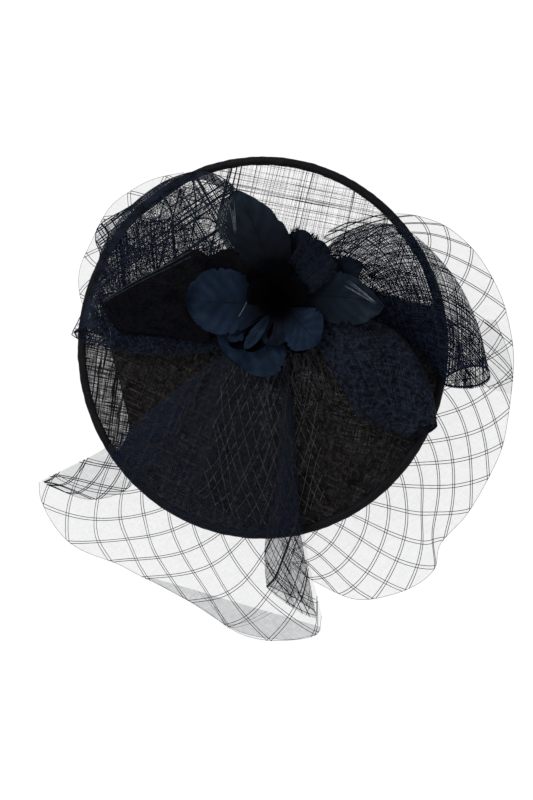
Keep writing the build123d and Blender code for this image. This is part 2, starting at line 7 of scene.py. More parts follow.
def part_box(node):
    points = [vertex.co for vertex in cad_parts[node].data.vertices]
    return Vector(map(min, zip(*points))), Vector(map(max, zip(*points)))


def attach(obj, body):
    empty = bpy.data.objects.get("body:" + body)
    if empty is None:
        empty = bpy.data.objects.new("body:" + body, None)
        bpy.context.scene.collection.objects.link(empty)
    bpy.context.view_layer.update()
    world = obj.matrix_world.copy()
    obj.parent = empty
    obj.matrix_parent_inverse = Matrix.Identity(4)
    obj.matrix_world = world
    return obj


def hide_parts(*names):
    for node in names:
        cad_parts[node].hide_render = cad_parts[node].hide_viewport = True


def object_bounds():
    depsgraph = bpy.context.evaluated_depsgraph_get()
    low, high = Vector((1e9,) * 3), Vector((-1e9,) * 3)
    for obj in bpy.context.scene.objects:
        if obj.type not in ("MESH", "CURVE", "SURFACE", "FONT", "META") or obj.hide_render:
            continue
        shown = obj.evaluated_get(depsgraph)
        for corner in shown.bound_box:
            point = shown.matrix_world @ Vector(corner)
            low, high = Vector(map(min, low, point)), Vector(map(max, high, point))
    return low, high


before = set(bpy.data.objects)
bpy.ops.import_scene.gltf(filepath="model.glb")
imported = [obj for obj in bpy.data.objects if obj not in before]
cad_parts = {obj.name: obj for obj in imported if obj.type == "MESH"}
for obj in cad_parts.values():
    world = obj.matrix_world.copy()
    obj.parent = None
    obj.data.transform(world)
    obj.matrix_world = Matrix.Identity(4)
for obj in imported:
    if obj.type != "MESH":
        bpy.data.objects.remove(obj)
CAD_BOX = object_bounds()

# A dressed disc fascinator. Lengths in this script are millimetres until a mesh is made.
MM = 0.001
HEAD = "headpiece"


def node_box(name):
    """A CAD node's lowest and highest corners, in millimetres."""
    low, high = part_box(name)
    return np.array(low) / MM, np.array(high) / MM


# ---------------------------------------------------------------- sizes read from the frame

DISC_HIGH = node_box("sinamay_disc")[1]
RIM_LOW, RIM_HIGH = node_box("rim_binding")
CLOTH = 0.8
EDGE_RADIUS = DISC_HIGH[0]
RIM_RADIUS = RIM_HIGH[0]
DISC_RISE = DISC_HIGH[2] - CLOTH / 2
DOME_RADIUS = (EDGE_RADIUS**2 + DISC_RISE**2) / (2 * DISC_RISE)
DOME_CENTRE = DISC_RISE - DOME_RADIUS
CORE_LOW, CORE_HIGH = node_box("flower_core")
FLOWER = (CORE_LOW + CORE_HIGH)[:2] / 2
CORE_RADIUS = (CORE_HIGH[0] - CORE_LOW[0]) / 2
KNOT_LOW, KNOT_HIGH = node_box("knot_binding")
LOWEST = CAD_BOX[0][2] / MM

# The disc's weave is turned a little clockwise from the frame's axes.
WEAVE_TURN = math.radians(-12)


def dome(x, y, lift):
    """Height of the surface that lies `lift` above the disc's middle."""
    return DOME_CENTRE + np.sqrt((DOME_RADIUS + lift) ** 2 - x**2 - y**2)


# ---------------------------------------------------------------- lines, grids and meshes


def smooth_line(points, count, closed=False):
    """Evenly spaced points on a smooth line through the given ones, in any dimension."""
    p = np.asarray(points, float)
    if closed:
        p = np.vstack([p[-1], p, p[0], p[1]])
    else:
        p = np.vstack([2 * p[0] - p[1], p, 2 * p[-1] - p[-2]])
    t = np.linspace(0, 1, 24, endpoint=False)[:, None]
    spans = []
    for a, b, c, d in zip(p[:-3], p[1:-2], p[2:-1], p[3:]):
        bend = 2 * a - 5 * b + 4 * c - d
        spans.append(0.5 * (2 * b + (c - a) * t + bend * t**2 + (3 * b - a - 3 * c + d) * t**3))
    dense = np.vstack(spans + [p[-2][None]])
    along = np.concatenate([[0], np.cumsum(np.linalg.norm(np.diff(dense, axis=0), axis=1))])
    want = np.linspace(0, along[-1], count, endpoint=not closed)
    return np.stack([np.interp(want, along, column) for column in dense.T], 1)


def loft_grid(curves, across, along):
    """A grid [along, across, 3] of points on a smooth surface through several curves."""
    rows = np.array([smooth_line(curve, across) for curve in curves])
    return smooth_line(rows.reshape(len(rows), -1), along).reshape(along, across, 3)


def inside(x, y, outline):
    """Which points lie inside a closed outline."""
    result = np.zeros(x.shape, bool)
    ends = np.roll(outline, -1, axis=0)
    for (x1, y1), (x2, y2) in zip(outline, ends):
        if y1 != y2:
            crosses = ((y1 > y) != (y2 > y)) & (x < (x2 - x1) * (y - y1) / (y2 - y1) + x1)
            result ^= crosses
    return result


def make_mesh(name, verts, faces, material, uvs=None):
    """A smooth-shaded mesh object from corner indices of equal-sided faces."""
    mesh = bpy.data.meshes.new(name)
    faces = np.asarray(faces, np.int32)
    sides = faces.shape[1]
    mesh.vertices.add(len(verts))
    mesh.vertices.foreach_set("co", (np.asarray(verts) * MM).astype(np.float32).ravel())
    mesh.loops.add(faces.size)
    mesh.loops.foreach_set("vertex_index", faces.ravel())
    mesh.polygons.add(len(faces))
    mesh.polygons.foreach_set("loop_start", np.arange(0, faces.size, sides, dtype=np.int32))
    mesh.update(calc_edges=True)
    mesh.polygons.foreach_set("use_smooth", np.ones(len(faces), bool))
    if uvs is not None:
        layer = mesh.uv_layers.new(name="OFBake")
        layer.data.foreach_set("uv", np.asarray(uvs, np.float32)[faces.ravel()].ravel())
    mesh.materials.append(material)
    obj = bpy.data.objects.new(name, mesh)
    bpy.context.scene.collection.objects.link(obj)
    return obj


def place(obj, *nodes, slot, body=HEAD):
    """Rides a piece on a body and says which CAD nodes it stands for. slot: not used."""
    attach(obj, body)
    if nodes:
        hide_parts(*nodes)
    return obj


def grid_piece(name, grid, material, closed=False):
    """A surface from a grid of points."""
    rows, cols = grid.shape[:2]
    index = np.arange(rows * cols).reshape(rows, cols)
    if closed:
        index = np.hstack([index, index[:, :1]])
    a, b, c, d = index[:-1, :-1], index[:-1, 1:], index[1:, 1:], index[1:, :-1]
    faces = np.stack([a, b, c, d], -1).reshape(-1, 4)
    v, u = np.meshgrid(np.linspace(0.01, 0.99, rows), np.linspace(0.01, 0.99, cols), indexing="ij")
    return make_mesh(name, grid.reshape(-1, 3), faces, material, np.stack([u, v], -1).reshape(-1, 2))


def strip_piece(name, strips, material):
    """Flat ribbons. Each strip: points, sideways unit vectors, half widths."""
    verts, faces, uvs = [], [], []
    base = 0
    rows = max(1, len(strips))
    for number, (points, sides, half) in enumerate(strips):
        count = len(points)
        reach = sides * np.broadcast_to(half, count)[:, None]
        verts.append(np.stack([points - reach, points + reach], 1).reshape(-1, 3))
        left = base + 2 * np.arange(count - 1)
        faces.append(np.stack([left, left + 1, left + 3, left + 2], 1))
        u = np.linspace(0.01, 0.99, count)
        low = np.stack([u, np.full(count, (number + 0.2) / rows)], 1)
        high = np.stack([u, np.full(count, (number + 0.8) / rows)], 1)
        uvs.append(np.stack([low, high], 1).reshape(-1, 2))
        base += 2 * count
    return make_mesh(name, np.vstack(verts), np.vstack(faces), material, np.vstack(uvs))


def tube_piece(name, lines, radius, material, sides=5):
    """Round strands. Each line: points, and the radius may be one number or one for each point."""
    verts, faces, uvs = [], [], []
    base = 0
    turn = np.linspace(0, 2 * np.pi, sides, endpoint=False)
    for number, points in enumerate(lines):
        count = len(points)
        size = radius[number] if isinstance(radius, list) else radius
        tangent = np.gradient(points, axis=0)
        tangent /= np.linalg.norm(tangent, axis=1)[:, None] + 1e-9
        side = np.cross(tangent, (0.13, 0.07, 0.99))
        side /= np.linalg.norm(side, axis=1)[:, None] + 1e-9
        up = np.cross(side, tangent)
        spread = np.broadcast_to(size, count)[:, None, None]
        ring = np.cos(turn)[None, :, None] * side[:, None] + np.sin(turn)[None, :, None] * up[:, None]
        verts.append((points[:, None] + ring * spread).reshape(-1, 3))
        index = base + np.arange(count * sides).reshape(count, sides)
        index = np.hstack([index, index[:, :1]])
        quads = np.stack([index[:-1, :-1], index[:-1, 1:], index[1:, 1:], index[1:, :-1]], -1)
        faces.append(quads.reshape(-1, 4))
        u, v = np.meshgrid(
            np.linspace(0.01, 0.99, count),
            (number + np.linspace(0.1, 0.9, sides)) / len(lines),
            indexing="ij",
        )
        uvs.append(np.stack([u, v], -1).reshape(-1, 2))
        base += count * sides
    return make_mesh(name, np.vstack(verts), np.vstack(faces), material, np.vstack(uvs))


def unit(vectors):
    return vectors / (np.linalg.norm(vectors, axis=-1, keepdims=True) + 1e-9)


def level_sides(points, axis=0):
    """Unit vectors across a line of points, level with the disc's rim."""
    return unit(np.cross(np.gradient(points, axis=axis), (0.0, 0.0, 1.0)))


def runs_of(mask):
    """Start and end of each unbroken stretch of True, two points or longer."""
    edges = np.flatnonzero(np.diff(np.concatenate([[0], mask.astype(np.int8), [0]])))
    return [(a, b) for a, b in zip(edges[::2], edges[1::2]) if b - a > 1]


# ---------------------------------------------------------------- threads


THREAD_STEP = 2.5
THREAD_WAVER = 0.3


def plan_threads(outline, height, families, seed):
    """Woven threads over a plan outline. Each family: angle, pitch, width, share of slubs."""
    rng = np.random.default_rng(seed)
    strips = []
    for layer, (angle, pitch, width, slubs) in enumerate(families):
        along = np.array([math.cos(angle), math.sin(angle)])
        across = np.array([-along[1], along[0]])
        span, reach = outline @ across, outline @ along
        count = int((span.max() - span.min()) / pitch * 1.3) + 2
        places = span.min() + np.cumsum(pitch * rng.gamma(3.0, 1 / 3.0, count))
        places = places[places < span.max()]
        steps = np.arange(reach.min(), reach.max() + THREAD_STEP, THREAD_STEP)
        phase = rng.uniform(0, 2 * np.pi, (len(places), 2))
        drift = np.sin(steps / 23 + phase[:, :1]) + 0.5 * np.sin(steps / 7.3 + phase[:, 1:])
        offset = places[:, None] + THREAD_WAVER * drift
        x = steps * along[0] + offset * across[0]
        y = steps * along[1] + offset * across[1]
        z = height(x, y) + 0.12 * (layer * 2 - 1)
        half = 0.5 * width * rng.lognormal(-0.1, 0.45, len(places))
        half[rng.random(len(places)) < slubs] *= 2.4
        thick = 1 + 0.25 * np.sin(steps / 11 + phase[:, 1:] * 3)
        kept = inside(x, y, outline)
        points = np.stack([x, y, z], -1)
        sides = level_sides(points, axis=1)
        for i in range(len(places)):
            for a, b in runs_of(kept[i]):
                strips.append((points[i, a:b], sides[i, a:b], half[i] * thick[i, a:b]))
    return strips


def sample_grid(grid, s, t):
    """Points of a grid at fractions s along and t across."""
    rows, cols = grid.shape[:2]
    fs = np.clip(s, 0, 1) * (rows - 1)
    ft = np.clip(t, 0, 1) * (cols - 1)
    i = np.minimum(fs.astype(int), rows - 2)
    j = np.minimum(ft.astype(int), cols - 2)
    a, b = (fs - i)[..., None], (ft - j)[..., None]
    low = grid[i, j] * (1 - b) + grid[i, j + 1] * b
    high = grid[i + 1, j] * (1 - b) + grid[i + 1, j + 1] * b
    return low * (1 - a) + high * a


def grid_normals(grid):
    return unit(np.cross(np.gradient(grid, axis=1), np.gradient(grid, axis=0)))


GRID_THREAD_STEPS = 48
GRID_THREAD_OFF = -0.15


def grid_threads(grid, families, seed, waver):
    """Threads along slanted lines of a grid. Each family: slant, count, width."""
    rng = np.random.default_rng(seed)
    normals = grid_normals(grid)
    s = np.linspace(0, 1, GRID_THREAD_STEPS)
    strips = []
    for slant, count, width in families:
        total = int(count * (1 + abs(slant)))
        starts = (np.arange(total) + rng.uniform(-0.4, 0.4, total)) / count
        if slant > 0:
            starts -= slant
        for start in starts:
            size = 0.5 * width * rng.lognormal(-0.1, 0.4)
            t = start + slant * s + waver * np.sin(s * 9 + rng.uniform(0, 6.3))
            for a, b in runs_of((t >= 0) & (t <= 1)):
                points = sample_grid(grid, s[a:b], t[a:b])
                normal = unit(sample_grid(normals, s[a:b], t[a:b]))
                sides = unit(np.cross(normal, np.gradient(points, axis=0)))
                strips.append((points + normal * GRID_THREAD_OFF, sides, size))
    return strips


def line_on_grid(grid, s, t, half, off=0.0):
    """One strip that follows a path of fractions on a grid."""
    points = sample_grid(grid, s, t)
    normal = unit(sample_grid(grid_normals(grid), s, t))
    sides = unit(np.cross(normal, np.gradient(points, axis=0)))
    return points + normal * off, sides, half


def hem_strip(line, half, height, off=0.25):
    """A flat strip along a plan line, laid on a height function."""
    x, y = line[:, 0], line[:, 1]
    points = np.stack([x, y, height(x, y) + off], -1)
    sides = level_sides(points)
    return points, sides, half


# ---------------------------------------------------------------- materials


class Finish:
    """A procedural material under construction."""

    def __init__(self, name):
        self.material = bpy.data.materials.new(name)
        self.material.use_nodes = True
        self.tree = self.material.node_tree
        self.shader = self.tree.nodes["Principled BSDF"]
        self.coords = self.add("ShaderNodeTexCoord")

    def add(self, kind, **values):
        node = self.tree.nodes.new(kind)
        for key, value in values.items():
            setattr(node, key, value)
        return node

    def link(self, source, target):
        self.tree.links.new(source, target)

    def set(self, **values):
        for key, value in values.items():
            self.shader.inputs[key.replace("_", " ")].default_value = value

    def mapped(self, turn=0.0, scale=(1, 1, 1)):
        node = self.add("ShaderNodeMapping", vector_type="TEXTURE")
        node.inputs["Rotation"].default_value = (0, 0, turn)
        node.inputs["Scale"].default_value = tuple(1 / size for size in scale)
        self.link(self.coords.outputs["Object"], node.inputs["Vector"])
        return node.outputs["Vector"]

    def noise(self, vector, scale, detail=3.0, roughness=0.55):
        node = self.add("ShaderNodeTexNoise")
        node.inputs["Scale"].default_value = scale
        node.inputs["Detail"].default_value = detail
        node.inputs["Roughness"].default_value = roughness
        self.link(vector, node.inputs["Vector"])
        return node.outputs["Fac"]

    def spread(self, value, low, high, to_low, to_high):
        node = self.add("ShaderNodeMapRange")
        for key, number in zip(("From Min", "From Max", "To Min", "To Max"), (low, high, to_low, to_high)):
            node.inputs[key].default_value = number
        self.link(value, node.inputs["Value"])
        return node.outputs["Result"]

    def math(self, operation, first, second=None):
        node = self.add("ShaderNodeMath", operation=operation)
        for socket, value in zip(node.inputs, (first, second)):
            if value is None:
                continue
            if isinstance(value, (int, float)):
                socket.default_value = value
            else:
                self.link(value, socket)
        return node.outputs["Value"]

    def colours(self, value, low, high):
        node = self.add("ShaderNodeMix", data_type="RGBA")
        self.link(value, node.inputs["Factor"])
        for socket in node.inputs:
            if socket.type == "RGBA":
                socket.default_value = (*(low if socket.name == "A" else high), 1)
        colour = next(s for s in node.outputs if s.type == "RGBA")
        self.link(colour, self.shader.inputs["Base Color"])

    def bump(self, value, strength, distance):
        node = self.add("ShaderNodeBump")
        node.inputs["Strength"].default_value = strength
        node.inputs["Distance"].default_value = distance * MM
        self.link(value, node.inputs["Height"])
        self.link(node.outputs["Normal"], self.shader.inputs["Normal"])

    def streaks(self, turn, fine=1900.0, long=60.0, low=0.45, high=0.62):
        """Fine broken lines in one direction, as from threads of uneven thickness."""
        vector = self.mapped(turn, (long, fine, long))
        return self.spread(self.noise(vector, 1.0, 2.0), low, high, 0.0, 1.0)


def cloth_shader(finish, roughness, gloss):
    finish.set(Roughness=roughness, Specular_IOR_Level=gloss)


def thread_finish(name, low, high, gloss=0.15):
    """Spun threads: colour drifts along and between them."""
    finish = Finish(name)
    cloth_shader(finish, 0.6, gloss)
    grain = finish.noise(finish.mapped(), 320.0, 2.0)
    finish.colours(finish.spread(grain, 0.35, 0.65, 0, 1), low, high)
    finish.bump(finish.noise(finish.mapped(), 2600.0, 1.0), 0.4, 0.05)
    return finish.material


def woven_finish(name, low, high, open_alpha, shut_alpha, turn=WEAVE_TURN, gloss=0.05,
                 fine=1900.0, thin=None):
    """The body of a woven sheet: threads of two directions as streaks, more or less see-through.

    thin: how see-through the gaps get in the patches where the weave has drifted open."""
    finish = Finish(name)
    cloth_shader(finish, 0.65, gloss)
    warp = finish.streaks(turn, fine)
    weft = finish.streaks(turn + math.pi / 2, fine * 0.92)
    weave = finish.math("MAXIMUM", warp, weft)
    patches = finish.noise(finish.mapped(), 90.0, 4.0)
    finish.colours(finish.spread(patches, 0.3, 0.7, 0, 1), low, high)
    alpha = finish.spread(weave, 0, 1, open_alpha, shut_alpha)
    if thin is not None:
        drift = finish.spread(finish.noise(finish.mapped(), 16.0, 2.0), 0.50, 0.68, 1.0, thin)
        alpha = finish.math("MAXIMUM", finish.math("MULTIPLY", alpha, drift),
                            finish.spread(weave, 0.1, 0.5, 0.0, shut_alpha))
    finish.link(alpha, finish.shader.inputs["Alpha"])
    finish.bump(weave, 0.5, 0.15)
    return finish.material


def crin_finish(name, colour, open_alpha, shut_alpha):
    """Horsehair braid: a fine, even two-way hatch of hairs."""
    finish = Finish(name)
    cloth_shader(finish, 0.5, 0.1)
    hatch = finish.math(
        "MULTIPLY",
        finish.math("ADD", finish.streaks(math.radians(38), 900.0, 160.0, 0.3, 0.7),
                    finish.streaks(math.radians(-41), 900.0, 160.0, 0.3, 0.7)),
        0.5,
    )
    tone = tuple(c * 0.6 for c in colour)
    finish.colours(finish.noise(finish.mapped(), 60.0), tone, colour)
    finish.link(finish.spread(hatch, 0, 1, open_alpha, shut_alpha), finish.shader.inputs["Alpha"])
    finish.bump(hatch, 0.3, 0.1)
    return finish.material


FEATHER_BARBS = 58.0
BARB_SLANT = 30.0


def feather_finish(name, root, low, high, tip, alpha=1.0, pale_from=0.12, pale_at=0.5, gloss=0.035):
    """A feather vane: barbs slant forward from the rachis, dark root that is painted shade of the flower's
    centre, paler towards the tip.
    """
    finish = Finish(name)
    cloth_shader(finish, 0.55, gloss)
    split = finish.add("ShaderNodeSeparateXYZ")
    finish.link(finish.coords.outputs["UV"], split.inputs["Vector"])
    side = finish.math("ABSOLUTE", finish.math("SUBTRACT", split.outputs["X"], 0.5))
    forward = finish.math("SUBTRACT", finish.math("MULTIPLY", split.outputs["Y"], FEATHER_BARBS),
                          finish.math("MULTIPLY", side, BARB_SLANT))
    wobble = finish.math("MULTIPLY", finish.noise(finish.mapped(), 130.0), 2.5)
    forward = finish.math("ADD", forward, wobble)
    line = finish.spread(finish.math("SINE", finish.math("MULTIPLY", forward, 6.28)), -1, 1, 0, 1)
    drift = finish.math("ADD", finish.math("MULTIPLY", forward, 0.7),
                        finish.math("MULTIPLY", finish.noise(finish.mapped(), 35.0), 9.0))
    locks = finish.spread(finish.math("SINE", drift), -1, 1, 0, 1)
    clumps = finish.noise(finish.mapped(), 70.0, 4.0, 0.65)
    # fade keeps each vane at its root colour near its root: painted shade where the vanes meet in the dark
    # centre.
    fade = finish.spread(split.outputs["Y"], pale_from, pale_at, 0, 1)
    shade = finish.math("ADD", finish.math("MULTIPLY", line, 0.22), finish.math("MULTIPLY", locks, 0.12))
    shade = finish.math("ADD", shade, finish.math("MULTIPLY", clumps, 0.85))
    shade = finish.math("ADD", shade, finish.math("MULTIPLY", side, 0.25))
    shade = finish.math("MULTIPLY", shade, fade)
    ramp = finish.add("ShaderNodeValToRGB")
    ramp.color_ramp.elements[0].color = (*root, 1)
    ramp.color_ramp.elements[1].color = (*tip, 1)
    ramp.color_ramp.elements[1].position = 1.0
    for position, colour in ((0.28, low), (0.62, high)):
        ramp.color_ramp.elements.new(position).color = (*colour, 1)
    finish.link(shade, ramp.inputs["Fac"])
    finish.link(ramp.outputs["Color"], finish.shader.inputs["Base Color"])
    if alpha < 1.0:
        edge = finish.spread(finish.math("MULTIPLY", line, fade), 0, 1, alpha, 1.0)
        finish.link(edge, finish.shader.inputs["Alpha"])
    finish.bump(line, 0.35, 0.12)
    return finish.material


def felt_finish(name, low, high):
    finish = Finish(name)
    cloth_shader(finish, 0.95, 0.03)
    fibres = finish.noise(finish.mapped(), 900.0, 6.0, 0.7)
    finish.colours(finish.spread(fibres, 0.35, 0.65, 0, 1), low, high)
    finish.bump(fibres, 0.8, 0.4)
    return finish.material


def metal_finish(name, colour, worn):
    """Plated spring steel: drawn lines along its length, rubbed spots."""
    finish = Finish(name)
    finish.set(Metallic=1.0)
    lines = finish.noise(finish.mapped(0, (40, 900, 900)), 1.0, 3.0)
    rubbed = finish.noise(finish.mapped(), 160.0, 5.0, 0.6)
    finish.colours(finish.spread(rubbed, 0.45, 0.6, 0, 1), colour, worn)
    finish.link(finish.spread(lines, 0.3, 0.7, 0.22, 0.42), finish.shader.inputs["Roughness"])
    finish.bump(lines, 0.25, 0.03)
    return finish.material


def binding_finish():
    """Bias strip folded round the rim: close diagonal weave that catches a little light."""
    finish = Finish("rim_bias_strip")
    cloth_shader(finish, 0.5, 0.12)
    warp = finish.streaks(math.radians(45), 1500.0, 120.0, 0.4, 0.6)
    weft = finish.streaks(math.radians(-45), 1500.0, 120.0, 0.4, 0.6)
    weave = finish.math("MAXIMUM", warp, weft)
    finish.colours(finish.math("MULTIPLY", weave, finish.noise(finish.mapped(), 45.0)),
                   (0.0006, 0.0006, 0.001), (0.008, 0.008, 0.013))
    finish.bump(weave, 0.8, 0.2)
    return finish.material


BLACK_LOW, BLACK_HIGH = (0.001, 0.001, 0.0013), (0.007, 0.0068, 0.0078)
BLUE_LOW, BLUE_HIGH = (0.002, 0.0025, 0.0045), (0.011, 0.014, 0.024)

disc_thread = thread_finish("sinamay_thread", (0.002, 0.002, 0.002), (0.016, 0.015, 0.015), 0.1)
disc_body = woven_finish("sinamay_single_layer", BLACK_LOW, BLACK_HIGH, 0.0, 0.16)
lining_body = woven_finish("sinamay_second_layer", BLACK_LOW, BLACK_HIGH, 0.5, 1.0, fine=900.0)
cover_body = woven_finish("sinamay_cover", BLACK_LOW, (0.011, 0.0105, 0.0115), 0.985, 1.0, fine=900.0,
                          thin=0.80)
cover_thread = thread_finish("cover_thread", (0.0005, 0.0005, 0.0007), (0.040, 0.036, 0.034), 0.05)
crest_highlight_thread = thread_finish("crest_highlight_thread", (0.006, 0.009, 0.014), (0.026, 0.036, 0.052), 0.1)
bow_thread = thread_finish("bow_thread", (0.0012, 0.002, 0.005), (0.010, 0.016, 0.033), 0.05)
fold_thread = thread_finish("fold_thread", (0.0005, 0.0006, 0.001), (0.006, 0.007, 0.011), 0.03)
# Brighter, bluer threads for the right fold: painted sheen on the navy weave.
painted_sheen_thread = thread_finish("painted_sheen_thread", (0.0006, 0.0008, 0.002), (0.020, 0.028, 0.046), 0.06)
wing_body = woven_finish("bow_open_weave", BLUE_LOW, BLUE_HIGH, 0.0, 0.4, math.radians(33), fine=900.0)
hem_body = woven_finish("bow_hem", BLUE_LOW, (0.014, 0.021, 0.038), 0.7, 1.0, math.radians(33))
fold_body = woven_finish("bow_close_weave", (0.0008, 0.0008, 0.0012), (0.006, 0.006, 0.0085), 0.97, 1.0,
                         math.radians(20), 0.02)
# The right fold's weave, bluer and brighter than the left fold's: painted sheen.
painted_sheen_body = woven_finish("bow_weave_painted_sheen", (0.001, 0.0012, 0.0022), (0.008, 0.011, 0.02), 0.96, 1.0,
                          math.radians(-50), 0.05, fine=1100.0)
cone_body = woven_finish("bow_cone_weave", BLUE_LOW, (0.014, 0.018, 0.03), 0.0, 0.34, math.radians(-30),
                         fine=800.0)
crin_body = crin_finish("crin_mesh", (0.014, 0.032, 0.075), 0.09, 0.21)
crin_dense = crin_finish("crin_mesh_double", (0.014, 0.03, 0.06), 0.22, 0.40)
crin_tip = crin_finish("crin_mesh_tip", (0.012, 0.028, 0.065), 0.12, 0.28)
crin_pleat = crin_finish("crin_mesh_pleat", (0.008, 0.014, 0.035), 0.12, 0.50)
crin_line = thread_finish("crin_paired_line", (0.003, 0.003, 0.0035), (0.02, 0.02, 0.022), 0.1)
net_strand = thread_finish("net_strand", (0.006, 0.006, 0.009), (0.085, 0.085, 0.094), 0.1)
rim_strip = binding_finish()
stitch_thread = thread_finish("stitch_thread", (0.002, 0.002, 0.003), (0.012, 0.012, 0.015))
black_felt = felt_finish("black_felt", (0.002, 0.002, 0.0025), (0.012, 0.012, 0.014))
clip_steel = metal_finish("clip_steel", (0.42, 0.42, 0.44), (0.6, 0.6, 0.6))
vane_blue = feather_finish("vane_blue", (0.0006, 0.0008, 0.0015), (0.0030, 0.0058, 0.0125),
                           (0.0062, 0.0128, 0.028), (0.018, 0.032, 0.058))
vane_dark = feather_finish("vane_dark", (0.0005, 0.0006, 0.001), (0.0020, 0.0030, 0.0060),
                           (0.0045, 0.0072, 0.014), (0.010, 0.015, 0.026))
vane_black = feather_finish("vane_black", (0.0003, 0.0003, 0.0004), (0.0012, 0.0012, 0.0018),
                            (0.0030, 0.0029, 0.0042), (0.0065, 0.0062, 0.0085), gloss=0.015)
vane_top = feather_finish("vane_top", (0.0004, 0.0004, 0.0008), (0.0050, 0.0072, 0.0115),
                          (0.0120, 0.0175, 0.0265), (0.032, 0.043, 0.058), pale_from=0.25, pale_at=0.9)
# Near-black vanes for the inner petals and under the curls: painted shade of the flower's deep centre.
vane_painted_shade = feather_finish("vane_painted_shade", (0.0002, 0.0002, 0.0003), (0.0006, 0.0006, 0.0010),
                           (0.0016, 0.0018, 0.0030), (0.0035, 0.0045, 0.0075), pale_from=0.3, pale_at=1.0,
                           gloss=0.01)
# Paler towards the tip: a painted highlight along the barbs of the long right feather.
vane_long = feather_finish("vane_long", (0.0006, 0.0008, 0.0015), (0.0032, 0.0058, 0.0105),
                           (0.0075, 0.0125, 0.021), (0.024, 0.034, 0.050), pale_from=0.1, pale_at=0.75)
vane_sheer = feather_finish("vane_sheer", (0.0006, 0.0008, 0.0014), (0.006, 0.009, 0.013),
                            (0.016, 0.023, 0.031), (0.05, 0.06, 0.072), alpha=0.84, pale_from=0.3,
                            pale_at=0.8)
# Pale barbs; on the long right feather they are painted highlights along the barbs.
barb_pale_highlight = thread_finish("pale_highlight_barbs", (0.03, 0.038, 0.05), (0.13, 0.145, 0.17), 0.2)
barb_blue = thread_finish("loose_barbs", (0.002, 0.003, 0.006), (0.010, 0.016, 0.026), 0.08)
# The centre's own black, made near-black also as painted shade where the petals converge.
core_black_and_shade = felt_finish("flower_core_black", (0.0002, 0.0002, 0.0002), (0.0008, 0.0008, 0.001))
shaft_dark = thread_finish("shaft_dark", (0.001, 0.0015, 0.003), (0.006, 0.010, 0.018), 0.03)
quill = thread_finish("quill", (0.05, 0.055, 0.065), (0.16, 0.17, 0.19), 0.3)

# ---------------------------------------------------------------- disc


def polar_sheet(name, outline, lift, material, rings=26, centre=(0.0, 0.0)):
    """A sheet over the disc from a star-shaped outline about a centre."""
    count = len(outline)
    s = np.linspace(0.0, 1.0, rings)[:, None, None]
    flat = np.array(centre) + s * (outline - np.array(centre))
    height = lift if callable(lift) else (lambda x, y: dome(x, y, lift))
    x, y = flat[..., 0], flat[..., 1]
    grid = np.stack([x, y, height(x, y)], -1)
    verts = grid.reshape(-1, 3)
    index = np.arange(rings * count).reshape(rings, count)
    index = np.hstack([index, index[:, :1]])
    faces = np.stack([index[1:-1, :-1], index[1:-1, 1:], index[2:, 1:], index[2:, :-1]], -1)
    faces = faces.reshape(-1, 4)
    hub = np.stack([index[0, :-1][::2], index[1, :-1][::2], np.roll(index[1, :-1], -1)[::2],
                    np.roll(index[1, :-1], -2)[::2]], -1)
    hub[:, 0] = index[0, 0]
    low, high = verts[:, :2].min(0), verts[:, :2].max(0)
    return make_mesh(name, verts, np.vstack([faces, hub]), material, (verts[:, :2] - low) / (high - low))


def circle(radius, count):
    turn = np.linspace(0, 2 * np.pi, count, endpoint=False)
    return np.stack([radius * np.cos(turn), radius * np.sin(turn)], 1)


CROSSWISE = WEAVE_TURN
UPRIGHT = WEAVE_TURN + math.pi / 2


def build_disc():
    rim = circle(EDGE_RADIUS - 0.3, 180)

    def height(x, y):
        return dome(x, y, 0.0)

    body = place(polar_sheet("disc_body", rim, 0.0, disc_body), "sinamay_disc", slot="disc_sinamay")
    families = [(UPRIGHT, 1.3, 0.20, 0.13), (CROSSWISE, 1.2, 0.18, 0.12)]
    strips = plan_threads(rim, height, families, 11)
    threads = place(strip_piece("disc_threads", strips, disc_thread), slot="disc_sinamay")


def build_rim():
    """Binding: an oval roll with soft creases, and the stitches along its inner edge."""
    rng = np.random.default_rng(5)
    around, section = 540, 22
    angle = np.linspace(0, 2 * np.pi, around, endpoint=False)
    turn = np.linspace(0, 2 * np.pi, section, endpoint=False)
    half_width = (RIM_HIGH[2] - RIM_LOW[2]) * 0.79
    half_height = (RIM_HIGH[2] - RIM_LOW[2]) * 0.5
    crease = np.zeros((around, section))
    for _ in range(14):
        waves, skew = rng.integers(20, 120), rng.uniform(-3, 3)
        crease += rng.normal(0, 0.035) * np.sin(waves * angle[:, None] + skew * turn + rng.uniform(0, 6))
    radius = RIM_RADIUS - half_width + (half_width + crease) * np.cos(turn)
    z = (half_height + crease) * np.sin(turn)
    grid = np.stack([radius * np.cos(angle)[:, None], radius * np.sin(angle)[:, None], z], -1)
    band = grid_piece("rim_band", np.concatenate([grid, grid[:1]]), rim_strip, closed=True)
    place(band, "rim_binding", slot="rim_binding")
    stitches = []
    inner = RIM_RADIUS - half_width * 1.72
    for start in np.arange(0, 2 * np.pi, 4.2 / inner):
        a = start + np.linspace(0, 2.3 / inner, 4)
        reach = inner + np.linspace(0, 0.5, 4)
        line = np.stack([reach * np.cos(a), reach * np.sin(a), np.full(len(a), half_height * 0.72)], -1)
        stitches.append(line)
    row = tube_piece("rim_stitches", stitches, 0.16, stitch_thread, sides=4)
    place(row, slot="thread")


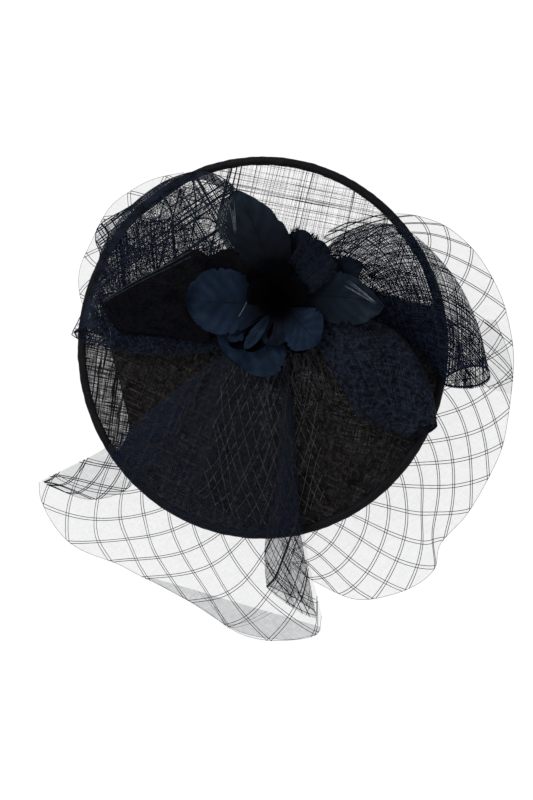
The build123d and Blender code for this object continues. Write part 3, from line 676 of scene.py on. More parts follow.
def build_drape():
    """Two more woven layers over the front two thirds; the upper one has its own left edge."""
    reach = EDGE_RADIUS - 1.2

    def settle(x, y):
        """The layers come down onto the disc where the binding holds them."""
        return np.clip((EDGE_RADIUS - np.hypot(x, y)) / 14.0, 0.08, 1.0)

    left, right = math.radians(172), math.radians(372)
    arc = np.linspace(left, right, 90)
    rim_part = np.stack([reach * np.cos(arc), reach * np.sin(arc)], 1)
    top = smooth_line([rim_part[-1], (96, 46), (52, 62), (0, 72), (-50, 62), (-105, 34), rim_part[0]], 50)
    lining_line = np.vstack([rim_part, top[1:-1]])

    def under(x, y):
        return dome(x, y, 0.0) + 0.9 * settle(x, y)

    lining = polar_sheet("drape_lining", lining_line, under, lining_body, 24, (-5.0, -35.0))
    place(lining, slot="drape_sinamay")
    lining_threads = plan_threads(lining_line, under, [(UPRIGHT + 0.05, 1.0, 0.3, 0.1),
                                                       (CROSSWISE + 0.04, 1.0, 0.3, 0.1)], 21)
    lining_weave = place(strip_piece("lining_threads", lining_threads, disc_thread), slot="drape_sinamay")

    arc = np.linspace(math.radians(216), right, 80)
    rim_part = np.stack([reach * np.cos(arc), reach * np.sin(arc)], 1)
    edge = smooth_line([(-30, 66), (-90, 40), (-121, 8), (-114, -30), (-107, -64), rim_part[0]], 50)
    top = smooth_line([rim_part[-1], (96, 44), (40, 66), edge[0]], 30)
    cover_line = np.vstack([rim_part, top[1:-1], edge])

    def over(x, y):
        swell = 1.7 + 0.25 * np.sin(x / 9.0 + y / 23.0) * np.sin(y / 31.0)
        return dome(x, y, 0.0) + swell * settle(x, y)

    cover = polar_sheet("drape_cover", cover_line, over, cover_body, 28, (0.0, -35.0))
    place(cover, "lower_drape", slot="drape_sinamay")
    families = [(UPRIGHT - 0.2, 1.2, 0.3, 0.1), (CROSSWISE - 0.22, 1.2, 0.3, 0.1)]
    cover_threads = plan_threads(cover_line, lambda x, y: over(x, y) + 0.15, families, 22)
    weave = place(strip_piece("cover_threads", cover_threads, cover_thread), slot="drape_sinamay")


# ---------------------------------------------------------------- bow


def wing_height(x, y):
    """The wing stands up off the disc in the middle and comes down to the rim."""
    r = np.hypot(x, y)
    fall = np.clip((EDGE_RADIUS - r) / 60.0, -0.2, 1.0)
    ripple = 1.2 * np.sin(x / 13.0 - y / 19.0) + 0.7 * np.sin(x / 7.0 + y / 11.0)
    return dome(x, y, 6.0) + 7.0 * np.clip(fall, 0, 1) + ripple * np.clip(fall + 0.3, 0, 1)


WING_EDGE = [(10, 66), (-4, 96), (-16, 126), (-43, 141), (-76, 134), (-105, 115), (-131, 101),
             (-135.5, 88), (-131, 73), (-139, 44), (-150, 22), (-155, 13), (-153.5, 9.5),
             (-134, 1.5), (-104, -3), (-60, -5), (-20, 2), (10, 28)]


def build_wing():
    outline = smooth_line(WING_EDGE, 150, closed=True)
    centre = (-62.0, 66.0)
    upper = place(polar_sheet("wing_upper", outline, wing_height, wing_body, 26, centre),
                  "left_wing", slot="bow_sinamay")
    lean = math.radians(33)
    families = [(lean, 1.5, 0.42, 0.15), (lean + math.pi / 2, 1.5, 0.42, 0.15)]
    weave = plan_threads(outline, lambda x, y: wing_height(x, y) + 0.2, families, 31)
    upper_threads = place(strip_piece("wing_threads", weave, bow_thread), slot="bow_sinamay")

    def layer(name, line, drop, angle, width, seed):
        shape = smooth_line(line, 110, closed=True)

        def height(x, y):
            return wing_height(x, y) - drop

        piece = place(polar_sheet(name, shape, height, wing_body, 22, centre), slot="bow_sinamay")
        ways = [(angle, 1.4, width, 0.15), (angle + math.pi / 2, 1.4, width, 0.15)]
        strips = plan_threads(shape, lambda x, y: height(x, y) + 0.2, ways, seed)
        threads = place(strip_piece(name + "_threads", strips, bow_thread), slot="bow_sinamay")

    layer("wing_lower", [(0, 74), (-16, 92), (-26, 112), (-48, 128), (-66, 128), (-90, 120), (-110, 106),
                         (-128, 84), (-134, 50), (-144, 18), (-100, 2), (-30, 10)],
          3.0, math.radians(-14), 0.27, 32)
    layer("wing_lining", [(4, 62), (-24, 80), (-44, 92), (-70, 104), (-96, 104), (-120, 84), (-131, 52),
                          (-142, 20), (-100, 1), (-30, 8)],
          5.5, math.radians(8), 0.46, 33)

    edge = smooth_line([(-16, 126), (-43, 141), (-76, 134), (-105, 115), (-128, 84), (-137, 52),
                        (-148, 20)], 90)
    inward = smooth_line([(-20, 121), (-44, 134), (-72, 126), (-97, 107), (-119, 79), (-129, 50),
                          (-132, 12)], 90)
    rows = np.linspace(0, 1, 7)[:, None, None]
    flat = edge * (1 - rows) + inward * rows
    lift = wing_height(flat[..., 0], flat[..., 1]) + 0.7 + 0.5 * np.sin(rows[..., 0] * np.pi)
    hem = grid_piece("wing_hem", np.concatenate([flat, lift[..., None]], -1), hem_body)
    place(hem, slot="bow_sinamay")

    edges = []
    for line in ([(-52, 101), (-38, 103), (-25, 94), (-14, 80)], [(-42, 110), (-30, 119), (-16, 124)],
                 [(-84, 130), (-70, 112), (-66, 96)], [(-52, 134), (-48, 112), (-50, 90)],
                 [(-105, 112), (-96, 88), (-98, 70)], [(-131, 101), (-124, 92), (-128, 74)]):
        edges.append(hem_strip(smooth_line(line, 24), 0.7, wing_height, 0.8))
    outline_line = np.vstack([outline, outline[:1]])
    edges.append(hem_strip(outline_line, 0.4, wing_height, 0.5))
    cut = place(strip_piece("wing_cut_edges", edges, bow_thread), slot="bow_sinamay")


ROLL_LAP = 0.06
RING_POINTS = 72
ROLL_ACROSS = 78
ROLL_ALONG = 70
ROLL_RIPPLE = 0.5


def roll_rings(sections):
    """Cross-sections of a rolled sheet whose edges lap a little on its underside.

    Each: x, y, z, width, depth, heading, how far the lower lip reaches ahead, squareness."""
    rings = []
    turn = np.linspace(-np.pi / 2 - ROLL_LAP * np.pi, 1.5 * np.pi + ROLL_LAP * np.pi, RING_POINTS)
    for x, y, z, width, depth, heading, lip, square in sections:
        a = math.radians(heading)
        side = np.array([math.sin(a), -math.cos(a), 0.0])
        forward = np.array([math.cos(a), math.sin(a), 0.0])
        wide = np.sign(np.cos(turn)) * np.abs(np.cos(turn)) ** square
        tall = np.sin(turn) * (1.0 - 0.25 * np.cos(turn))
        grow = np.linspace(0.93, 1.0, RING_POINTS)[:, None]
        reach = wide[:, None] * side * width / 2
        shift = -tall[:, None] * forward * lip
        rise = tall[:, None] * np.array([0, 0, depth / 2])
        rings.append(np.array([x, y, z]) + (reach + rise + shift) * grow)
    return rings


def roll(name, sections, material, node, slot, families, seed, thread, waver=0.006,
         hem_half=0.8):
    """A roll of cloth from its cross-sections, with its threads and the hems at its mouth."""
    grid = loft_grid(roll_rings(sections), ROLL_ACROSS, ROLL_ALONG)
    s = np.linspace(0, 1, ROLL_ALONG)[:, None]
    t = np.linspace(0, 2 * np.pi, ROLL_ACROSS)[None]
    wave = ROLL_RIPPLE * np.sin(5 * s + 3 * t) * np.sin(np.pi * s) + 0.3 * np.sin(17 * s - 5 * t) * s
    grid = grid + grid_normals(grid) * wave[..., None]
    body = place(grid_piece(name, grid, material), node, slot=slot)
    strips = grid_threads(grid, families, seed, waver)
    threads = place(strip_piece(name + "_threads", strips, thread), slot=slot)
    t = np.linspace(0, 1, ROLL_ACROSS)
    mouth = []
    for place_along, half in ((0.992, hem_half), (0.965, hem_half * 0.4)):
        mouth.append(line_on_grid(grid, np.full(ROLL_ACROSS, place_along), t, half, -0.3))
    hem = place(strip_piece(name + "_hem", mouth, thread), slot=slot)
    return grid


def build_rolls():
    """Bow rolls and the front pleat, each from listed sections."""
    knot_z = (KNOT_LOW[2] + KNOT_HIGH[2]) / 2
    left = roll("fold_left", [
        (13, 38, knot_z + 3, 16, 7, 178, 0.0, 1.0),
        (-14, 40, 29.0, 36, 11, 180, 0.0, 1.0),
        (-32, 42, 30.5, 68, 13, 186, 0.0, 0.9),
        (-40, 42, 30.0, 77, 12, 189, 0.0, 0.75),
        (-58, 38.5, 29.0, 66, 13, 192, 0.0, 0.8),
        (-80, 34.5, 26.5, 52.5, 13, 198, 0.0, 0.85),
        (-102, 29.5, 23.0, 39, 12, 206, 0.0, 0.9),
        (-119, 26, 18.8, 29, 9.5, 214, 3.0, 1.0),
    ], fold_body, "left_fold", "bow_sinamay", [(0.5, 120, 0.2), (-0.5, 120, 0.2)], 41,
        fold_thread)
    # A painted highlight: two pale strips along the upper edge of the left fold.
    s = np.linspace(0.42, 0.985, 60)
    crest = []
    for across, half in ((0.285, 0.55), (0.31, 0.3)):
        crest.append(line_on_grid(left, s, np.full(60, across), half, -0.3))
    place(strip_piece("fold_left_crest_highlight", crest, crest_highlight_thread), slot="bow_sinamay")
    roll("cone_right", [
        (37, 39, 19.5, 12, 7, 4, 0.0, 1.0),
        (70, 57, 20.5, 62, 12, 0, 0.0, 1.0),
        (106, 56, 19.0, 82, 16, -12, 0.0, 0.9),
        (137, 34, 16.0, 66, 16, -32, 0.0, 0.9),
        (156, 9, 13.0, 49, 16, -52, 0.0, 0.9),
        (168, -24, 9.0, 38, 15, -78, 8.0, 1.0),
    ], cone_body, "right_cone", "bow_sinamay", [(0.8, 110, 0.38), (-0.8, 110, 0.38)], 42,
        bow_thread)
    # The right fold, whose bluer weave and threads are a painted sheen.
    roll("fold_right", [
        (36, 26, knot_z + 4, 12, 7, -41, 0.0, 1.0),
        (60, 14, 33.0, 26, 11, -30, 0.0, 1.0),
        (81, -4, 35.5, 57, 12, -15, 0.0, 0.9),
        (93, -14, 35.5, 72, 13, -17, 0.0, 0.8),
        (103, -22, 33.0, 74, 14, -28, 0.0, 0.8),
        (116, -36, 27.5, 62, 13, -42, 0.0, 0.85),
        (126, -51, 21.0, 46, 12, -52, 0.0, 0.9),
        (134, -65, 12.5, 26, 10, -64, 3.0, 1.0),
    ], painted_sheen_body, "right_fold", "bow_sinamay", [(0.6, 150, 0.26), (-0.6, 150, 0.26)], 43,
        painted_sheen_thread)
    roll("pleat_front", [
        (27, 26, 22.0, 9, 6, -90, 0.0, 1.0),
        (27, -20, 20.5, 9, 6, -90, 0.0, 1.0),
        (28, -60, 19.5, 11, 7, -90, 0.0, 1.0),
        (26, -110, 16.5, 19, 10, -90, 0.0, 1.0),
        (23, -150, 12.5, 30, 13, -90, 0.0, 1.0),
        (24.5, -180, 7.5, 38, 13, -100, 0.0, 1.0),
        (27, -202, 1.5, 49, 12, -119, 5.0, 1.0),
    ], crin_pleat, "front_pleat", "crin", [(1.3, 11, 0.5), (-1.3, 11, 0.5)], 44, crin_line,
        waver=0.002, hem_half=0.3)


# ---------------------------------------------------------------- veils


PAIR_STEPS = 70
PAIR_OFF = 0.15


def paired_lines(grid, slant, count, gap, half, seed, start):
    """Two families of paired lines that meet at the outer edge, as in windowpane crin."""
    rng = np.random.default_rng(seed)
    strips = []
    s = np.linspace(start, 1, PAIR_STEPS)
    bow = 0.25 * (s - start) * (1 - s)
    for sign in (-1, 1):
        for number in range(-count, 2 * count):
            edge = (number + 0.5 + rng.uniform(-0.08, 0.08)) / count
            for pair in (-0.5, 0.5):
                t = edge + pair * gap + sign * slant * ((1 - s) + bow)
                for a, b in runs_of((t >= 0) & (t <= 1)):
                    strips.append(line_on_grid(grid, s[a:b], t[a:b], half, PAIR_OFF))
    return strips


def ruffle(grid, amplitude, waves, seed):
    """Lifts a sheet in soft folds that grow towards its outer edge."""
    rng = np.random.default_rng(seed)
    rows, cols = grid.shape[:2]
    s = np.linspace(0, 1, rows)[:, None]
    t = np.linspace(0, 1, cols)[None]
    lift = np.zeros((rows, cols))
    for _ in range(5):
        k = waves * rng.uniform(0.6, 1.5)
        lift += rng.uniform(0.4, 1.0) * np.sin(2 * np.pi * k * t + rng.uniform(0, 6.3) + 1.2 * s)
    result = grid.copy()
    result[..., 2] += amplitude * lift / 2.2 * s**1.6
    return result


def on_dome(points, lift):
    """Plan points with the height of a layer over the disc."""
    p = np.array(points, float)
    return np.column_stack([p, dome(p[:, 0], p[:, 1], lift)])


def veil(name, curves, lift, node, slant, count, gap, seed, ruffles=2.5, waves=4,
         material=crin_body, start=0.0, half=0.26):
    """A crin sheet over the disc, with its paired lines and its outer edge."""
    grid = loft_grid([on_dome(c, lift) for c in curves], 120, 70)
    grid = ruffle(grid, ruffles, waves, seed)
    body = place(grid_piece(name, grid, material), *node, slot="crin")
    lines = paired_lines(grid, slant, count, gap, half, seed, start)
    edge = np.linspace(0, 1, 140)
    lines.append(line_on_grid(grid, np.full(140, 0.998), edge, 0.14, 0.1))
    pairs = place(strip_piece(name + "_lines", lines, crin_line), slot="crin")


def build_veils():
    veil("veil_front", [
        [(10, 28), (14, 24), (20, 22), (26, 24)],
        [(-56, -27), (-48, -60), (-20, -78), (10, -84), (35, -76)],
        [(-125, -79), (-108, -118), (-62, -146), (-12, -162), (39, -152)],
        [(-191, -111), (-190, -126), (-172, -155), (-144, -170), (-110, -182), (-74, -199), (-48, -213),
         (-15, -233), (18, -236), (44, -230), (50, -214)],
    ], 3.8, ["front_veil"], 0.85, 8, 0.012, 51, 2.2, 5)
    veil("veil_front_turn", [
        [(-96, -186.5), (-60, -195), (-20, -205.5), (15, -214.5), (48, -223.5)],
        [(-96, -187.0), (-60, -201), (-20, -218), (18, -225), (47, -227)],
        [(-96, -187.5), (-60, -206.5), (-20, -229.5), (18, -235), (44, -230)],
    ], 2.2, [], 0.2, 1, 0.03, 52, 0.3, 3, material=crin_dense,
        half=0.12)
    veil("veil_front_tip", [
        [(-38, -14), (-74, -40), (-124, -79), (-158, -96), (-186, -109)],
        [(-40, -22), (-66, -52), (-112, -92), (-152, -109), (-184, -111)],
        [(-44, -30), (-60, -64), (-100, -107), (-122, -120), (-148, -123), (-180, -113)],
    ], 6.6, ["front_veil_tip"], 0.35, 6, 0.02, 53, 1.2, 3,
        material=crin_tip, half=0.34)
    veil("veil_right", [
        [(35, 50), (37, 45), (37, 38), (36, 32)],
        [(44, 68), (66, 72), (84, 60), (90, 40), (76, 22)],
        [(54, 86), (92, 93), (128, 82), (148, 52), (152, 14), (136, -18)],
        [(60, 93), (85, 102), (113, 105), (136, 101), (156, 91), (176, 71), (191, 45), (199, 20), (203, -8),
         (201, -36)],
    ], 3.4, ["right_veil"], 0.6, 9, 0.012, 54, 2.0, 4,
        start=0.35)
    veil("veil_under", [
        [(70, 10), (76, -20), (70, -55), (54, -90), (22, -120)],
        [(128, 24), (150, -26), (134, -82), (96, -132), (25, -152)],
        [(188, 22), (200, -12), (199, -40), (195, -70), (184, -98), (165, -131), (144, -155), (138, -176),
         (119, -191), (86, -201), (60, -196), (24, -176)],
    ], -5.0, ["under_veil"], 0.38, 12, 0.010, 55, 3.0, 6)
    veil("veil_back", [
        [(-58, 108), (-76, 92), (-92, 76), (-106, 55), (-118, 36)],
        [(-62, 128), (-88, 116), (-108, 100), (-124, 78), (-133, 50), (-134, 36)],
        [(-64, 142), (-89, 137.5), (-110, 128), (-127, 116), (-142, 91), (-153, 66), (-154, 46), (-147, 29)],
    ], -5.0, ["back_veil"], 0.2, 5, 0.02, 56, 1.5, 3)


def build_net():
    """Diamond netting that fans out below the flower, and loose ends in front of it."""
    curves = [
        [(-14, 6), (4, 0), (24, -2), (42, 4)],
        [(-30, -40), (-6, -44), (26, -46), (50, -38)],
        [(-38, -80), (-8, -86), (26, -88), (54, -78)],
        [(-48, -116), (-14, -136), (24, -140), (56, -118)],
    ]
    grid = loft_grid([on_dome(c, 5.6) for c in curves], 90, 80)
    grid = ruffle(grid, 0.8, 5, 61)
    rng = np.random.default_rng(62)
    lines = []
    s = np.linspace(0, 1, 60)
    for sign in (-1, 1):
        for number in range(-8, 20):
            bend = 0.02 * np.sin(9 * s + rng.uniform(0, 6.3))
            t = number / 12 + rng.uniform(-0.03, 0.03) + sign * 0.62 * s + bend
            kept = (t >= 0) & (t <= 1)
            for a, b in runs_of(kept):
                lines.append(sample_grid(grid, s[a:b], t[a:b]) + np.array([0, 0, 0.4 + 0.2 * sign]))
    body = woven_finish("net_ground", BLACK_LOW, BLACK_HIGH, 0.0, 0.10)
    ground = place(grid_piece("net_ground", grid, body), "net_tuft", slot="net")
    strands = place(tube_piece("net_strands", lines, 0.24, net_strand), slot="net")
    tangle = []
    for _ in range(60):
        start = np.array([rng.uniform(18, 58), rng.uniform(0, 8), rng.uniform(20, 24)])
        angle = math.radians(rng.uniform(-125, -40))
        reach = rng.uniform(18, 46)
        middle = start + np.array([math.cos(angle), math.sin(angle), 0.05]) * reach * 0.5
        middle[:2] += rng.normal(0, 4, 2)
        end = start + np.array([math.cos(angle), math.sin(angle) - 0.2, 0.0]) * reach
        end[2] = dome(end[0], end[1], 7.5)
        middle[2] = max(middle[2], dome(middle[0], middle[1], 7.5))
        tangle.append(smooth_line([start, middle, end], 16))
    loose = place(tube_piece("net_loose_ends", tangle, 0.2, net_strand), slot="net")


# ---------------------------------------------------------------- feather flower


# The petals lie on a bowl: a sphere of this radius.
BOWL_RADIUS = 260.0
PETAL_ROWS = 72
PETAL_COLS = 30
SHAFT_ROWS = 64


def bowl_rise(reach):
    """Height of the flower's bowl at a distance from its middle."""
    return BOWL_RADIUS - np.sqrt(BOWL_RADIUS**2 - reach**2)


def petal_grid(node, azimuth, length, width, tip_at, blunt, cup, curl, twist, seed):
    """A cupped leaf on its tier's bowl. tip_at: where it is widest; blunt: how square its tip is."""
    rng = np.random.default_rng(seed)
    floor = node_box(node)[0][2]
    u = np.linspace(0, 1, PETAL_ROWS)[:, None]
    v = np.linspace(-1, 1, PETAL_COLS)[None]
    power = math.log(0.5) / math.log(tip_at)
    outline = np.sin(np.pi * np.clip(u, 0, 1) ** power) ** blunt
    half = np.maximum(outline * width / 2, 1.8 * (1 - u))
    for _ in range(16):
        at, depth = rng.uniform(0.35, 0.98), rng.uniform(0.02, 0.10)
        notch = np.exp(-(((u - at) / rng.uniform(0.008, 0.02)) ** 2))
        half = half * (1 - depth * notch * (np.sign(v) == rng.choice([-1, 1])))
    root = CORE_RADIUS * 0.7
    along = root + (length - root) * u
    side = v * half + twist * length * u**2
    bowl = bowl_rise(along)
    rise = floor + bowl + 0.5 + cup * width * (v**2 * u - 0.35 * u) + curl * length * u**3
    rise = rise + 0.7 * np.sin(3 * u * np.pi + 2.5 * v + rng.uniform(0, 6)) * u
    rise = rise + 0.012 * width * np.sin(7 * v + 3 * u + rng.uniform(0, 6)) * u
    a = math.radians(azimuth)
    x = FLOWER[0] + along * math.cos(a) - side * math.sin(a)
    y = FLOWER[1] + along * math.sin(a) + side * math.cos(a)
    return np.stack(np.broadcast_arrays(x, y, rise), -1)


PETALS = [
    # node, azimuth, length, width, widest at, blunt, cup, curl, twist, finish
    ("petal_front_wide", -127, 59, 63, 0.64, 0.44, 0.03, -0.03, 0.06, vane_blue),
    ("petal_back_low", 20, 74, 30, 0.60, 0.7, 0.06, 0.0, 0.05, vane_dark),
    ("petal_top_light", 115, 89, 39, 0.66, 0.5, 0.05, 0.0, 0.0, vane_sheer),
    ("petal_front_right", -57, 43, 30, 0.66, 0.6, 0.05, 0.0, 0.0, vane_blue),
    ("petal_left_dark", 150, 64, 42, 0.60, 0.5, 0.05, 0.0, 0.0, vane_black),
    ("petal_back_right", 33, 58, 30, 0.60, 0.6, 0.06, 0.0, 0.0, vane_dark),
    ("petal_left_curl", -140, 49.5, 14, 0.66, 0.6, 0.12, 0.0, -0.05, vane_blue),
    ("petal_left_round", 180, 70, 52, 0.60, 0.46, 0.08, 0.0, -0.03, vane_blue),
    ("petal_right_long", 11, 84, 43, 0.56, 0.72, 0.10, 0.0, -0.24, vane_long),
    ("petal_top", 101, 90, 46, 0.54, 0.8, 0.06, 0.0, 0.13, vane_top),
    ("petal_front_mid", -96, 35, 24, 0.62, 0.6, 0.08, 0.0, 0.0, vane_dark),
    ("petal_right_low", -42, 47.5, 37, 0.62, 0.85, 0.08, 0.0, -0.04, vane_blue),
    ("petal_small_curl", -122, 44, 10, 0.66, 0.6, 0.12, 0.0, -0.04, vane_blue),
    ("petal_inner_back", 100, 33, 40, 0.60, 0.6, 0.05, 0.0, 0.0, vane_painted_shade),
    ("petal_inner_left", 150, 24, 24, 0.60, 0.6, 0.05, 0.0, 0.0, vane_painted_shade),
    ("petal_inner_right", 30, 27, 26, 0.60, 0.6, 0.05, 0.0, 0.0, vane_painted_shade),
]
# Painted shade: dark vanes under the curls that show as shaded gaps between them: node, azimuth, length,
# width, drop.
PAINTED_SHADE_VANES = [
    ("petal_left_curl", -138, 51, 23, 1.8),
    ("petal_small_curl", -122, 45, 20, 3.6),
    ("petal_right_low", -60, 45, 26, 4.5),
]


def build_petals():
    for number, (node, azimuth, length, width, tip_at, blunt, cup, curl, twist, finish) in enumerate(PETALS):
        grid = petal_grid(node, azimuth, length, width, tip_at, blunt, cup, curl, twist, 70 + number)
        place(grid_piece(node + "_vane", grid, finish), node, slot="feather_vane")
        middle = grid[:SHAFT_ROWS, grid.shape[1] // 2] + np.array([0, 0, 0.12])
        thickness = np.linspace(0.42, 0.08, len(middle))
        shade = vane_painted_shade if "inner" in node else shaft_dark
        shaft = tube_piece(node + "_shaft", [middle], [thickness], shade)
        place(shaft, slot="feather_vane")
    # Painted shade: a near-black vane a little below each curl.
    for node, azimuth, length, width, drop in PAINTED_SHADE_VANES:
        grid = petal_grid(node, azimuth, length, width, 0.64, 0.6, 0.1, 0.0, 0.0, 96) - (0, 0, drop)
        place(grid_piece(node + "_dark", grid, vane_painted_shade), slot="feather_vane")
    build_pale_highlight_barbs()


def build_pale_highlight_barbs():
    """A few pale barbs near the tip of the long right feather, where they are a painted highlight, and at
    the top of the sheer one.
    """
    rng = np.random.default_rng(97)
    strips = []
    for start, end, lift, count in (((55, 15), (82, -3), 2.6, 9), ((-33, 82), (-31, 50), 3.2, 7)):
        length = math.hypot(end[0] - start[0], end[1] - start[1])
        aside = np.array([start[1] - end[1], end[0] - start[0]]) / length
        for _ in range(count):
            t = np.linspace(rng.uniform(0, 0.45), rng.uniform(0.8, 1.0), 14)[:, None]
            spread = rng.uniform(-2.6, 2.6) * (1.15 - t[:, :1]) + rng.uniform(-0.4, 0.4)
            plan = np.array(start) + (np.array(end) - np.array(start)) * t + aside * spread
            reach = np.hypot(plan[:, 0], plan[:, 1])
            floor = node_box("petal_right_long" if start[0] > 0 else "petal_top")[0][2]
            rise = floor + bowl_rise(reach) + lift
            points = np.column_stack([plan[:, 0] + FLOWER[0], plan[:, 1] + FLOWER[1], rise])
            sides = level_sides(points)
            strips.append((points, sides, 0.17 * np.sin(np.pi * np.linspace(0.12, 0.95, 14))))
    place(strip_piece("pale_highlight_barbs", strips, barb_pale_highlight), slot="feather_vane")


FRINGES = [
    # node, azimuth, length, width of the vane, length of the loose barbs, seed
    ("fringe_tall", 68, 64, 30, 9.0, 81),
    ("fringe_right", 50, 64, 28, 9.0, 82),
    ("fringe_short", 38, 61, 26, 8.5, 83),
]


def build_fringes():
    """Feathers whose barbs are stripped apart: each barb is a tapering ribbon."""
    for node, azimuth, length, width, barb, seed in FRINGES:
        rng = np.random.default_rng(seed)
        vane = petal_grid(node, azimuth, length * 0.93, width, 0.6, 0.5, 0.05, 0.0, 0.0, seed)
        place(grid_piece(node + "_vane", vane, vane_dark), node, slot="feather_fringe")
        floor = node_box(node)[0][2]
        a = math.radians(azimuth)
        out = np.array([math.cos(a), math.sin(a), 0.0])
        side = np.array([-math.sin(a), math.cos(a), 0.0])
        along = np.linspace(CORE_RADIUS * 0.7, length * 0.88, 60)
        rise = floor + 0.8 + bowl_rise(along)
        start = np.array([FLOWER[0], FLOWER[1], 0.0])
        shaft = start + along[:, None] * out
        shaft[:, 2] = rise
        strips = []
        for _ in range(520):
            at = rng.uniform(0.3, 1.0)
            hand = rng.choice([-1.0, 1.0])
            across = 0.5 + hand * rng.uniform(0.25, 0.48)
            root = sample_grid(vane, np.array([at * 0.96]), np.array([across]))[0] + (0, 0, 0.3)
            size = barb * rng.uniform(0.55, 1.0) * (0.55 + 0.45 * math.sin(math.pi * min(1, at * 0.9)))
            t = np.linspace(0, 1, 9)
            lean = rng.uniform(0.55, 1.0)
            forward = size * (0.35 * t + 0.5 * lean * t**1.5)
            wide = hand * size * (0.55 * t - 0.12 * lean * t**2) * rng.uniform(0.4, 1.0)
            points = root + forward[:, None] * out + wide[:, None] * side
            points[:, 2] += rng.uniform(-0.8, 3.2) * t + rng.normal(0, 0.4) * np.sin(3 * t)
            sides = level_sides(points)
            strips.append((points, sides, 0.28 * (1 - 0.85 * t)))
        place(strip_piece(node + "_barbs", strips, barb_blue), slot="feather_fringe")
        quills = tube_piece(node + "_quill", [shaft], [np.linspace(0.5, 0.15, 60)], stitch_thread)
        place(quills, slot="feather_fringe")


def build_loose_quill():
    """A bare, pale quill that curves over the round left feather."""
    spine = [(-19, 11, 17.0), (-20.5, 4, 17.5), (-24.5, -4, 16.5), (-29.5, -11, 14.0)]
    line = smooth_line([(FLOWER[0] + x, FLOWER[1] + y, CORE_LOW[2] + z) for x, y, z in spine], 24)
    place(tube_piece("loose_quill", [line], [np.linspace(0.15, 0.42, 24)], quill), slot="feather_vane")


def build_core():
    """The black centre, near-black partly as painted shade of the flower's deep middle: a bound dome with
    short stiff fibres all round.
    """
    rng = np.random.default_rng(91)
    height = CORE_HIGH[2] - CORE_LOW[2]
    rows, cols = 26, 48
    s = np.linspace(0, 1, rows)[:, None]
    turn = np.linspace(0, 2 * np.pi, cols, endpoint=False)[None]
    radius = CORE_RADIUS * np.sqrt(np.clip(1 - s**5, 0.0004, 1)) * (1 + 0.05 * np.sin(9 * turn + 8 * s))
    z = CORE_LOW[2] + height * s + 0 * turn
    grid = np.stack([FLOWER[0] + radius * np.cos(turn), FLOWER[1] + radius * np.sin(turn), z], -1)
    dome_piece = grid_piece("core_dome", grid, core_black_and_shade, closed=True)
    place(dome_piece, "flower_core", slot="flower_core")
    strips = []
    for _ in range(1500):
        a, lean = rng.uniform(0, 2 * np.pi), rng.uniform(0.15, 1.5)
        way = np.array([math.cos(a) * math.sin(lean), math.sin(a) * math.sin(lean), math.cos(lean)])
        start = np.array([FLOWER[0], FLOWER[1], CORE_HIGH[2] - 7.0]) + way * 4.5
        t = np.linspace(0, 1, 6)[:, None]
        points = start + way * t * rng.uniform(4.5, 10.0)
        points[:, 2] -= 1.5 * t[:, 0] ** 2
        points[:, 2] = np.minimum(points[:, 2], CORE_HIGH[2] + 1.5)
        sides = unit(np.cross(np.gradient(points, axis=0), rng.normal(0, 1, 3)))
        strips.append((points, sides, 0.42 * (1 - 0.8 * t[:, 0])))
    fibres = strip_piece("core_fibres", strips, core_black_and_shade)
    place(fibres, slot="flower_core")


def turned_patch(centre, radii, low, high, soft):
    """Rings of a felt disc with a rounded edge: a closed, slightly crowned form."""
    cols = 96
    turn = np.linspace(0, 2 * np.pi, cols, endpoint=False)
    thick = high - low
    rings = []
    for inset, level in ((1.0, 1.0), (0.5, 1.0), (soft * 2, 1.0), (soft, 0.97), (0.0, 0.75), (-0.004, 0.5),
                         (0.0, 0.25), (soft, 0.03), (soft * 2, 0.0), (0.5, -0.04), (1.0, -0.05)):
        reach = max(0.002, 1 - inset)
        x = centre[0] + radii[0] * reach * np.cos(turn)
        y = centre[1] + radii[1] * reach * np.sin(turn)
        rings.append(np.stack([x, y, low + thick * level + 0 * x], -1))
    return np.array(rings)


def build_knot():
    """Bound knot: a waist of wrapped cloth with raised turns."""
    rows, cols = 60, 96
    s = np.linspace(0, 1, rows)[:, None]
    turn = np.linspace(0, 2 * np.pi, cols, endpoint=False)[None]
    size = (KNOT_HIGH - KNOT_LOW) / 2
    swell = 0.93 + 0.05 * np.abs(np.sin(7 * np.pi * s + 0.9 * np.sin(turn)))
    x = FLOWER[0] + size[0] * swell * np.cos(turn)
    y = FLOWER[1] + size[1] * swell * np.sin(turn)
    z = KNOT_LOW[2] + 1.2 + (KNOT_HIGH[2] - KNOT_LOW[2] - 1.2) * s + 0 * turn
    grid = np.stack([x, y, z], -1)
    place(grid_piece("knot_wrap", grid, fold_body, closed=True), "knot_binding", slot="bow_sinamay")
    base_low, base_high = node_box("flower_base")
    radii = (base_high - base_low)[:2] / 2
    rings = turned_patch(FLOWER, radii, base_low[2], base_high[2], 0.03)
    place(grid_piece("flower_felt", rings, black_felt, closed=True), "flower_base", slot="felt")
    low, high = node_box("stem_anchor")
    rings = turned_patch(FLOWER, (high - low)[:2] / 2, low[2] + 0.1, high[2] - 0.7, 0.05)
    place(grid_piece("anchor_patch", rings, black_felt, closed=True), "stem_anchor", slot="felt")


# ---------------------------------------------------------------- pad and clip


